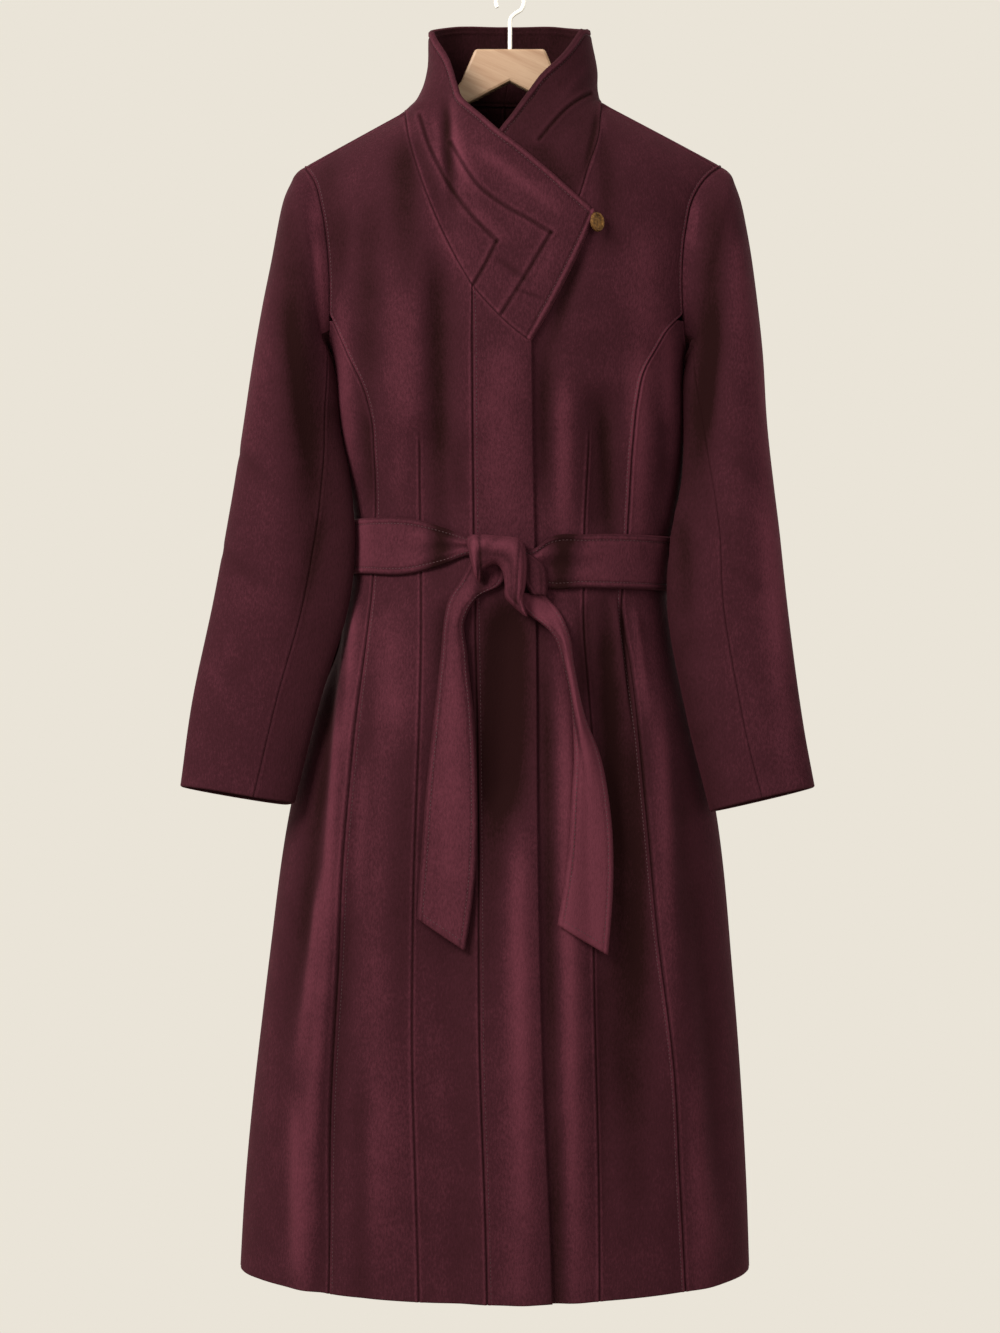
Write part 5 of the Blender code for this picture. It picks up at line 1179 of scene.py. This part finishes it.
# Creases of the sleeves, in the columns of the front's.
SLEEVE_CREASES_RIGHT = (
    # x top,  x end,  z top,  z end,  width,  height,  shade
    (-0.1811, -0.1717, -0.237, -0.420, 0.0055,  0.0010,  0.80),
    (-0.2101, -0.1764, -0.185, -0.644, 0.0184, -0.0010, -0.65),
    (-0.2120, -0.1764, -0.288, -0.532, 0.0101, -0.0025, -0.65),
    (-0.1857, -0.1792, -0.199, -0.307, 0.0055,  0.0015,  0.40),
    (-0.2438, -0.2588, -0.251, -0.504, 0.0156,  0.0015,  0.30),
    (-0.1745, -0.2007, -0.499, -0.635, 0.0074, -0.0015, -0.50),
    (-0.2794, -0.2232, -0.532, -0.584, 0.0083, -0.0010, -0.20),
    (-0.2645, -0.2064, -0.438, -0.499, 0.0083, -0.0010, -0.20),
    (-0.2860, -0.2532, -0.644, -0.701, 0.0083,  0.0008,  0.15),
)
SLEEVE_CREASES_LEFT = (
    # x top,  x end,  z top,  z end,  width,  height,  shade
    ( 0.1976,  0.1677, -0.178, -0.551, 0.0120, -0.0020, -0.80),
    ( 0.2311,  0.2629, -0.252, -0.868, 0.0129,  0.0010,  0.50),
    ( 0.2125,  0.2218, -0.229, -0.411, 0.0120,  0.0015,  0.35),
    ( 0.1938,  0.1752, -0.299, -0.495, 0.0083, -0.0025, -0.60),
    ( 0.1761,  0.1686, -0.206, -0.273, 0.0046,  0.0012,  0.35),
    ( 0.1621,  0.1668, -0.500, -0.635, 0.0074, -0.0015, -0.50),
    ( 0.2386,  0.2591, -0.486, -0.691, 0.0120,  0.0010,  0.25),
    ( 0.2004,  0.2470, -0.551, -0.588, 0.0083, -0.0008, -0.20),
    ( 0.2097,  0.2423, -0.448, -0.495, 0.0083, -0.0008, -0.20),
)
HEAD_ROWS = 9
HEAD_CROWDED = 1.4         # they are closer together at the armhole
HEAD_LEAVES = (0.9, 0.35)  # how far it goes on straight, and square to the body
SLEEVE_ROWS = 112
CUFF_ROWS = 9              # close together at the end of the sleeve
CUFF = (0.10, 0.09)        # where the others end and these begin, in rows of the table
SLEEVE_COLUMNS = 81
SLEEVE_SPACING = 0.006


def armhole_ring(armhole, turn, side, sleeve_normal):
    """The sleeve's first ring: the armhole seam, a seam's gap further out. Its wall lies
    like the body's over the shoulder and turns under like the sleeve's at the armpit."""
    angle = np.degrees(np.mod(turn, 2 * math.pi))
    from_top = np.minimum(angle, 360.0 - angle)
    x, z = armhole_point(armhole, from_top)
    facing = np.where(angle < 180.0, -1, 1)
    way = drop_way_at(x, z)
    point = coat_surface(x, way, facing)
    normal = outward(lambda u, v: coat_surface(u, v, facing), x, way, point)
    normal = unit(mixed(normal, sleeve_normal, ease(*UNDER_ANGLES, from_top)[:, None]))
    return point + np.array([side * NECK_GAP, 0.0, 0.0]), normal


def sleeve(side_name, side, armhole, table, front_seam, creases):
    """Two-piece sleeve: fine rings from the armhole to the cuff."""
    def ring(turn, place):
        """Point at turn radians round from the outer edge, place rows down the sleeve."""
        outer_x, outer_z, inner_x, inner_z, middle, half, tilt, lean = np.moveaxis(
            along_points(table, place), -1, 0)
        across = signed_power(np.cos(turn), 2.0 / SECTION_POWER)
        ahead = signed_power(np.sin(turn), 2.0 / SECTION_POWER)
        x = (outer_x + inner_x) / 2 + (outer_x - inner_x) / 2 * across
        z = (outer_z + inner_z) / 2 + (outer_z - inner_z) / 2 * across + tilt * half * ahead
        x = x - side * lean * bell(np.degrees(np.mod(turn, 2 * math.pi)), *LEAN_TURN)
        return np.stack([x, middle - half * ahead, z], axis=-1)

    last = len(table) - 1.0
    place = np.concatenate([np.linspace(0.0, last - CUFF[0], SLEEVE_ROWS),
                            np.linspace(last - CUFF[1], last, CUFF_ROWS)])[:, None]
    back_turn = seam(SLEEVE_BACK_SEAM, place / last)
    front_turn = seam(front_seam, place / last)
    pieces = []
    for piece, start, end in (("top_sleeve", back_turn - 360.0, front_turn),
                              ("under_sleeve", front_turn, back_turn)):
        turn = np.radians(mixed(start, end, np.linspace(0, 1, SLEEVE_COLUMNS)[None]))
        turn[:, 0] += SLEEVE_SEAM_TURN
        turn[:, -1] -= SLEEVE_SEAM_TURN
        level = np.repeat(place, SLEEVE_COLUMNS, axis=1)
        turn, level, run, marks = follow(ring, turn, level, spacing=SLEEVE_SPACING)
        body = ring(turn, level)
        centre = (body + ring(turn + math.pi, level)) / 2
        normal = outward(ring, turn, level, body, centre)
        first, first_normal = armhole_ring(armhole, turn[0], side, normal[0])
        # The sleeve head leaves the armhole square to the body and bends over to hang.
        t = np.linspace(0, 1, HEAD_ROWS + 1)[:-1, None, None] ** HEAD_CROWDED
        gap = np.linalg.norm(body[0] - first, axis=-1, keepdims=True)
        leave = HEAD_LEAVES[0] * (body[0] - first) + HEAD_LEAVES[1] * gap * first_normal
        head = eased_run(first, leave, body[0], unit(body[1] - body[0]) * gap, t)
        height, shade = crease_at(body[..., 0], body[..., 2], creases)
        for k in (0, -1):
            height, shade = add_seam(height, shade, np.abs(run - marks[:, k, None]), False,
                                     *SLEEVE_SEAM_EASE)
        shade = shade + INNER_SHADE[0] * bell(np.degrees(np.mod(turn, 2 * math.pi)),
                                              *INNER_SHADE[1:])
        points = np.concatenate([head, body + normal * height[..., None]])
        normals = np.concatenate([unit(mixed(first_normal, normal[0], t)), normal])
        head_shade = crease_at(head[..., 0], head[..., 2], creases)[1]
        shade = np.concatenate([head_shade, shade]) + bells(distance_to(points, first),
                                                            SEAM_SHADE)
        pieces.append(cloth_shell(f"{piece}_{side_name}_cloth", points,
                                  points - normals * CLOTH, shade, ("high",)))
    return pieces


top_right, under_right = sleeve("right", -1, ARMHOLE_RIGHT, SLEEVE_RIGHT, SLEEVE_SEAM_RIGHT,
                                SLEEVE_CREASES_RIGHT)
hang_cloth(top_right, "top_sleeve_right")
hang_cloth(under_right, "under_sleeve_right")
top_left, under_left = sleeve("left", 1, ARMHOLE_LEFT, SLEEVE_LEFT, SLEEVE_SEAM_LEFT,
                              SLEEVE_CREASES_LEFT)
hang_cloth(top_left, "top_sleeve_left")
hang_cloth(under_left, "under_sleeve_left")


# ---- Belt ---------------------------------------------------------------------------------
# Belt of two layers of melton, topstitched along its edges, tied in a single soft knot in
# front with one end passed behind it; both ends hang.
BELT_WALL = 0.0035
BELT_WIDTH = 0.050
BELT_REACH = 0.15          # from the middle of the coat to these two heights of its own:
BELT_RIGHT_Z = -0.5355
BELT_LEFT_Z = -0.5525
BELT_LEVEL = -0.545        # where its length round the coat is measured
BELT_CLEARANCE = 0.0020
BELT_COLUMNS = 330
BELT_STEPS = 1500          # in which its length is measured
BELT_STITCH = 0.0046       # topstitching this far inside an edge
# An edge is rolled off, and drawn in at its stitching: amount, middle, half width.
BELT_RELIEF = ((-0.0008, 0.0, 0.0012), (-0.0006, BELT_STITCH, 0.0010))
BELT_NEAR_EDGE = np.array([0.0, 0.6, 1.4, 2.4, 3.6, 4.6, 5.6, 7.0]) / 1000
BELT_MIDDLE = (0.0095, 11)          # from here on this many even places across
STITCH_ROW = 5             # the place of the topstitching among them
LIFT_END = (0.016, 0.002)  # past the placket's edge, where the belt comes down to the left
BAND_ENDS = (-0.018, 0.004)         # x at which the band ends under the knot
# The band beside the knot, where it is gathered: x, middle height and width.
BAND_RIGHT_END = ((-0.1500, -0.5355, 0.050), (-0.0870, -0.5380, 0.048),
                  (-0.0625, -0.5385, 0.033), (-0.0360, -0.5390, 0.014),
                  (-0.0180, -0.5420, 0.013))
BAND_LEFT_END = ((0.0040, -0.5480, 0.014), (0.0180, -0.5545, 0.022),
                 (0.0339, -0.5535, 0.044), (0.0693, -0.5520, 0.048),
                 (0.1500, -0.5525, 0.050))
BELT_SHADE = 500.0         # how much the relief tells in the belt's shade, per metre
BELT_PALE = 0.30
GATHERS = ((0.0016, 0.24, 0.12), (-0.0016, 0.46, 0.10), (0.0014, 0.70, 0.12),
           (-0.0012, 0.86, 0.08))   # beside the knot: height, share across, half width
GATHER_FADES = ((-0.125, -0.030), (0.105, 0.020))   # on the right, on the left: x
GATHER_SHADE = 150.0
# Painted shade on the band beside the knot and painted light at its side: amount, x, half width.
BAND_PAINTED_SHADING = ((-1.4, -0.0640, 0.0100), (-1.5, 0.0480, 0.0110), (0.6, -0.1460, 0.0160))


def front_lift(x, z):
    """Height of the lapped front over the plain surface, at either edge of the placket."""
    edge = seam(FRONT_EDGE, z)
    return lap_at(x, z) * ease(edge + LIFT_END[0], edge + LIFT_END[1], x) * (CLOTH + LAP_GAP)


def belt_edges(distance, length):
    """Relief along a belt's two edges: a rolled edge, then the topstitched groove."""
    return bells(np.minimum(distance, length - distance), BELT_RELIEF)


def belt_shares(width):
    """Places across the belt, close together at its edges and stitching."""
    inset, count = BELT_MIDDLE
    return np.concatenate([BELT_NEAR_EDGE, np.linspace(inset, width - inset, count),
                           width - BELT_NEAR_EDGE[::-1]]) / width


start, end = (float(ring_angle(BODY, np.array(x), np.array(z), -1)) for x, z in
              zip(BAND_ENDS, (BAND_RIGHT_END[-1][1], BAND_LEFT_END[0][1])))
turn = np.linspace(start, end - 2 * math.pi, BELT_STEPS)
level = side_surface(turn, np.full_like(turn, BELT_LEVEL))
run = np.concatenate([[0.0], np.cumsum(np.linalg.norm(np.diff(level, axis=0), axis=-1))])
turn = np.interp(np.linspace(0, run[-1], BELT_COLUMNS), run, turn)
x = side_surface(turn, np.full_like(turn, BELT_LEVEL))[:, 0]
in_front = np.cos(turn) > 0
middle = mixed(BELT_RIGHT_Z, BELT_LEFT_Z, (x + BELT_REACH) / (2 * BELT_REACH))
width = np.full_like(x, BELT_WIDTH)
for table, chosen in ((BAND_RIGHT_END, in_front & (x < 0)),
                      (BAND_LEFT_END, in_front & (x >= 0))):
    read = read_curve(table, x)
    middle = np.where(chosen, read[:, 0], middle)
    width = np.where(chosen, read[:, 1], width)
across = belt_shares(BELT_WIDTH)[:, None]
z = middle + width * (across - 0.5)
turn = np.repeat(turn[None], len(across), axis=0)
point = side_surface(turn, z)
normal = outward(side_surface, turn, z, point)
facing = np.where(np.cos(turn) > 0, -1, 1)
lift = np.maximum(fold_at(point[..., 0], z, facing), 0.0) + BELT_CLEARANCE
lift = lift + np.where(facing < 0, front_lift(point[..., 0], z), 0.0)
inner = point + normal * lift[..., None]
close = in_front * np.where(x < 0, ease(*GATHER_FADES[0], x), ease(*GATHER_FADES[1], x))
relief = belt_edges(across * width, width)
gather = bells(across, GATHERS) * close
shade = BELT_SHADE * relief + BELT_PALE + GATHER_SHADE * gather + bells(x, BAND_PAINTED_SHADING) * in_front
outer = inner + normal * (BELT_WALL + relief + gather)[..., None]
band = cloth_shell("belt_band_cloth", outer, inner, shade, ("low", "high"))
thread_runs.extend((outer[row], normal[row]) for row in (STITCH_ROW, -1 - STITCH_ROW))
hang_cloth(band, "belt_band")

# What hangs down in front. Each row is a height, the strip's two edges, how far it bows out
# between them, and how far it hangs clear of the coat.
TAIL_RIGHT = (
    # z,     edge,    edge,    bow,   clear
    (-0.552, -0.0365, -0.0060, 0.000, 0.0007),
    (-0.568, -0.0445, -0.0060, 0.000, 0.0010),
    (-0.575, -0.0490, -0.0100, 0.001, 0.0015),
    (-0.583, -0.0545, -0.0260, 0.003, 0.0030),
    (-0.591, -0.0578, -0.0345, 0.006, 0.0042),
    (-0.602, -0.0602, -0.0408, 0.008, 0.0050),
    (-0.640, -0.0640, -0.0400, 0.010, 0.0050),
    (-0.696, -0.0700, -0.0345, 0.007, 0.0035),
    (-0.755, -0.0760, -0.0320, 0.003, 0.0030),
    (-0.830, -0.0815, -0.0335, 0.001, 0.0030),
    (-0.881, -0.0850, -0.0425, 0.001, 0.0030),
)
TAIL_LEFT = (
    (-0.582, 0.0060, 0.0290, 0.000, 0.0007),
    (-0.598, 0.0140, 0.0440, 0.002, 0.0010),
    (-0.616, 0.0355, 0.0530, 0.008, 0.0050),
    (-0.650, 0.0490, 0.0590, 0.010, 0.0060),
    (-0.696, 0.0570, 0.0690, 0.012, 0.0045),
    (-0.732, 0.0590, 0.0825, 0.009, 0.0030),
    (-0.775, 0.0570, 0.0905, 0.005, 0.0030),
    (-0.830, 0.0530, 0.0940, 0.002, 0.0030),
    (-0.886, 0.0440, 0.0890, 0.001, 0.0030),
)
UNDER_LOOP = (
    (-0.546, 0.0120, 0.0180, 0.000, 0.0070),
    (-0.556, 0.0120, 0.0305, 0.001, 0.0070),
    (-0.570, 0.0125, 0.0335, 0.001, 0.0070),
    (-0.583, 0.0200, 0.0335, 0.001, 0.0070),
)
TAIL_SLANT = 0.028         # a tail's end is cut this much lower along one edge,
SLANT_RUN = 0.09           # over the last part of its length
TAIL_PALE = (0.35, 0.95)   # right tail, left tail: painted light makes the hanging ends paler
LOOP_PALE = 0.1
LOOP_WIDTH = 0.020
TAIL_ROWS = (120, 110)
LOOP_ROWS = 16
END_ROWS = 6               # a tail's stitching starts this many rows down
TAIL_RIGHT_CREASES = (
    # x top,  x end,  z top,  z end,  width,  height,  shade
    (-0.0224, -0.0334, -0.559, -0.604, 0.0046, -0.0020, -1.10),
    (-0.0507, -0.0590, -0.626, -0.919, 0.0083,  0.0006,  0.20),
)
TAIL_LEFT_CREASES = (
    # x top,  x end,  z top,  z end,  width,  height,  shade
    ( 0.0443,  0.0727, -0.619, -0.772, 0.0015, -0.0012, -1.10),
    ( 0.0489,  0.0791, -0.615, -0.772, 0.0024,  0.0010,  0.35),
    ( 0.0343,  0.0553, -0.601, -0.652, 0.0046, -0.0010, -0.50),
)


def chest_front(x, z, clear):
    """Point in front of the skirt or chest at x and z, clear of it along Y."""
    point = coat_surface(x, drop_way_at(x, z), -1)
    point[..., 1] -= np.maximum(fold_at(x, z, -1), 0.0) + front_lift(x, z) + clear
    return point


def hanging_strip(name, rows, slant, count, width, pale, creases=()):
    """Strip of the belt hanging in front of the coat; a slanted end is cut and stitched."""
    top, bottom = rows[0][0], rows[-1][0]
    z = np.linspace(top, bottom, count)
    edge_a, edge_b, bow, clear = np.moveaxis(read_curve(rows, z), -1, 0)
    c = belt_shares(width)[None]
    x = mixed(edge_a[:, None], edge_b[:, None], c)
    level = z[:, None] - slant * ease(bottom + SLANT_RUN, bottom, z)[:, None] * c
    inner = chest_front(x, level, clear[:, None] + bow[:, None] * 4 * c * (1 - c))
    span = np.linalg.norm(inner[:, -1] - inner[:, 0], axis=-1)[:, None]
    crease, shade = crease_at(x, level, creases)
    relief = belt_edges(c * span, span)
    ahead = np.array([0.0, -1.0, 0.0])
    outer = inner + ahead * (BELT_WALL + relief + crease)[..., None]
    shade = shade + BELT_SHADE * relief + pale
    if slant:
        from_end = distance_to(outer, outer[-1])
        outer[..., 1] -= bells(from_end, BELT_RELIEF[1:])
        ahead = np.broadcast_to(ahead, outer.shape)
        for column in (STITCH_ROW, -1 - STITCH_ROW):
            thread_runs.append((outer[END_ROWS:-2, column], ahead[END_ROWS:-2, column]))
        pick = np.arange(STITCH_ROW, c.shape[1] - STITCH_ROW)
        near_end = np.argmin(np.abs(from_end - BELT_STITCH), axis=0)[pick]
        thread_runs.append((outer[near_end, pick], ahead[near_end, pick]))
    return cloth_shell(name, outer, inner, shade, ("high", "start", "end"))


tail_right = hanging_strip("belt_tail_right_cloth", TAIL_RIGHT, TAIL_SLANT, TAIL_ROWS[0],
                           BELT_WIDTH, TAIL_PALE[0], TAIL_RIGHT_CREASES)
hang_cloth(tail_right, "belt_tail_right")
tail_left = hanging_strip("belt_tail_left_cloth", TAIL_LEFT, TAIL_SLANT, TAIL_ROWS[1],
                          BELT_WIDTH, TAIL_PALE[1], TAIL_LEFT_CREASES)
hang_cloth(tail_left, "belt_tail_left")
loop_under = hanging_strip("belt_loop_under_cloth", UNDER_LOOP, 0.0, LOOP_ROWS, LOOP_WIDTH,
                           LOOP_PALE)
hang_cloth(loop_under, "belt_loop_under")

# The knot is the belt wrapped over itself, swelling between its edges: x and height of its
# outer edge, then of its inner edge.
KNOT = (
    (-0.0350, -0.5600, -0.0270, -0.5700),
    (-0.0385, -0.5450, -0.0255, -0.5620),
    (-0.0385, -0.5290, -0.0190, -0.5570),
    (-0.0120, -0.5290, -0.0125, -0.5560),
    (0.0100, -0.5330, -0.0075, -0.5620),
    (0.0150, -0.5500, -0.0055, -0.5740),
    (0.0150, -0.5700, -0.0050, -0.5860),
    (0.0122, -0.5880, 0.0030, -0.5950),
    (0.0162, -0.6045, 0.0120, -0.6030),
)
KNOT_ROWS = 110
KNOT_RISE = 0.016
KNOT_SWELL = 0.4           # how soon it swells from its edges
KNOT_TAPER = (0.55, 0.6)   # share of its rise at its ends, and how soon it comes to the whole
KNOT_FOLDS = ((0.0007, 0.30, 0.16), (-0.0008, 0.66, 0.12))
KNOT_BACK = 0.0062         # clear of the coat behind it
# Painted light: the knot stands out in front and is painted paler than the band.
KNOT_PALE = 0.42
KNOT_STITCH = 1.5          # its stitching is drawn in deeper than the band's
KNOT_TOP = (0.42, 0.20)    # where the knot turns over, free of its stitched edges
KNOT_CREASES = (
    # x top,  x end,  z top,  z end,  width,  height,  shade
    (-0.0304, -0.0214, -0.504, -0.645, 0.0012, -0.0008, -0.80),
    (-0.0359, -0.0268, -0.504, -0.645, 0.0015,  0.0005,  0.30),
    ( 0.0094,  0.0013, -0.518, -0.645, 0.0012, -0.0008, -0.70),
    ( 0.0158,  0.0094, -0.518, -0.645, 0.0014,  0.0005,  0.25),
    (-0.0051, -0.0368, -0.525, -0.554, 0.0046, -0.0006, -0.30),
)

share = np.linspace(0, 1, KNOT_ROWS)
out_x, out_z, in_x, in_z = np.moveaxis(along_points(KNOT, share * (len(KNOT) - 1.0)), -1, 0)
c = belt_shares(BELT_WIDTH)[:, None]
x, z = mixed(out_x, in_x, c), mixed(out_z, in_z, c)
swell = np.sin(math.pi * c) ** KNOT_SWELL
taper = mixed(KNOT_TAPER[0], 1.0, np.sin(math.pi * share) ** KNOT_TAPER[1])
inner = chest_front(x, z, KNOT_BACK)
span = np.linalg.norm(inner[-1] - inner[0], axis=-1)
relief = KNOT_STITCH * belt_edges(c * span, span) * (1 - bell(share, *KNOT_TOP))
relief = relief + bells(c, KNOT_FOLDS)
crease, shade = crease_at(x, z, KNOT_CREASES)
outer = inner.copy()
outer[..., 1] -= BELT_WALL + KNOT_RISE * swell * taper + relief + crease
shade = shade + BELT_SHADE * relief + KNOT_PALE
knot = cloth_shell("belt_knot_cloth", outer, inner, shade, ("start",))
hang_cloth(knot, "belt_knot")


# ---- Hanger, hook and button --------------------------------------------------------------
# The imported model's own shapes: a flat hanger of pale planed beech with an oiled grain, its
# hook of white coated wire, and a cast button of old brass, worn bright in patches.
GRAIN_SLANT = -24.0        # degrees down the board
# Streaks 110 mm long and 7 mm wide, then pores 17 mm long and 0.7 mm wide: scale, detail,
# where they start and are full, and the share of their colour.
GRAIN = (((9.0, 9.0, 150.0), 2.0, 0.35, 0.70, 0.9),
         ((60.0, 60.0, 1400.0), 3.0, 0.55, 0.80, 0.5))
WEAR = (0.35, 0.70)        # where the worn colour starts and is full
GLOSS_PLAY = 0.12          # how much the roughness varies


def wood(name, pale, dark, pore):
    """Planed wood, its grain in long soft streaks that slant down the board."""
    made, shader = new_material(name, {"Roughness": 0.55})
    tree = made.node_tree
    place = add_node(tree, "ShaderNodeTexCoord").outputs["Object"]
    turned = add_node(tree, "ShaderNodeMapping", [("Vector", place)],
                      Rotation=(0.0, math.radians(GRAIN_SLANT), 0.0)).outputs[0]
    tone = None
    for (scale, detail, low, high, share), colour in zip(GRAIN, (dark, pore)):
        long = add_node(tree, "ShaderNodeMapping", [("Vector", turned)], Scale=scale).outputs[0]
        streak = add_node(tree, "ShaderNodeTexNoise", [("Vector", long)], Scale=1.0,
                          Detail=detail, Roughness=0.55).outputs["Fac"]
        amount = add_node(tree, "ShaderNodeMapRange", [("Value", streak)], From_Min=low,
                          From_Max=high, To_Max=share).outputs[0]
        stain = add_node(tree, "ShaderNodeMix", [("Factor", amount)], data_type="RGBA")
        stain.inputs[6].default_value = linear(pale)
        if tone:
            tree.links.new(tone, stain.inputs[6])
        stain.inputs[7].default_value = linear(colour)
        tone = stain.outputs[2]
    tree.links.new(tone, shader.inputs["Base Color"])
    bump = add_node(tree, "ShaderNodeBump", [("Height", streak)], Strength=0.25, Distance=0.0002)
    tree.links.new(bump.outputs["Normal"], shader.inputs["Normal"])
    return made


def worn_finish(name, base, worn, roughness, metallic, size):
    """Painted or cast finish with its colour and gloss uneven at one size."""
    made, shader = new_material(name, {"Metallic": metallic})
    tree = made.node_tree
    place = add_node(tree, "ShaderNodeTexCoord").outputs["Object"]
    wear = add_node(tree, "ShaderNodeTexNoise", [("Vector", place)], Scale=1 / size, Detail=5.0,
                    Roughness=0.6).outputs["Fac"]
    ramp = add_node(tree, "ShaderNodeValToRGB", [("Fac", wear)])
    for stop, at, colour in zip(ramp.color_ramp.elements, WEAR, (base, worn)):
        stop.position = at
        stop.color = linear(colour)
    tree.links.new(ramp.outputs["Color"], shader.inputs["Base Color"])
    gloss = add_node(tree, "ShaderNodeMapRange", [("Value", wear)],
                     To_Min=roughness - GLOSS_PLAY, To_Max=roughness + GLOSS_PLAY)
    tree.links.new(gloss.outputs[0], shader.inputs["Roughness"])
    bump = add_node(tree, "ShaderNodeBump", [("Height", wear)], Strength=0.3, Distance=0.0002)
    tree.links.new(bump.outputs["Normal"], shader.inputs["Normal"])
    return made


for node, finish, slot in (
        ("hanger", wood("planed_beech", "#a1866d", "#8a6a51", "#7b5d42"), "beech"),
        ("hanger_hook", worn_finish("white_coated_wire", "#f2f0ea", "#e2ded4", 0.38, 0.0, 0.004),
         "coated_wire"),
        ("button", worn_finish("old_brass", "#3f2a18", "#8c6638", 0.45, 0.85, 0.0030),
         "old_brass")):
    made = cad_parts[node]
    made.data.materials.clear()
    made.data.materials.append(finish)
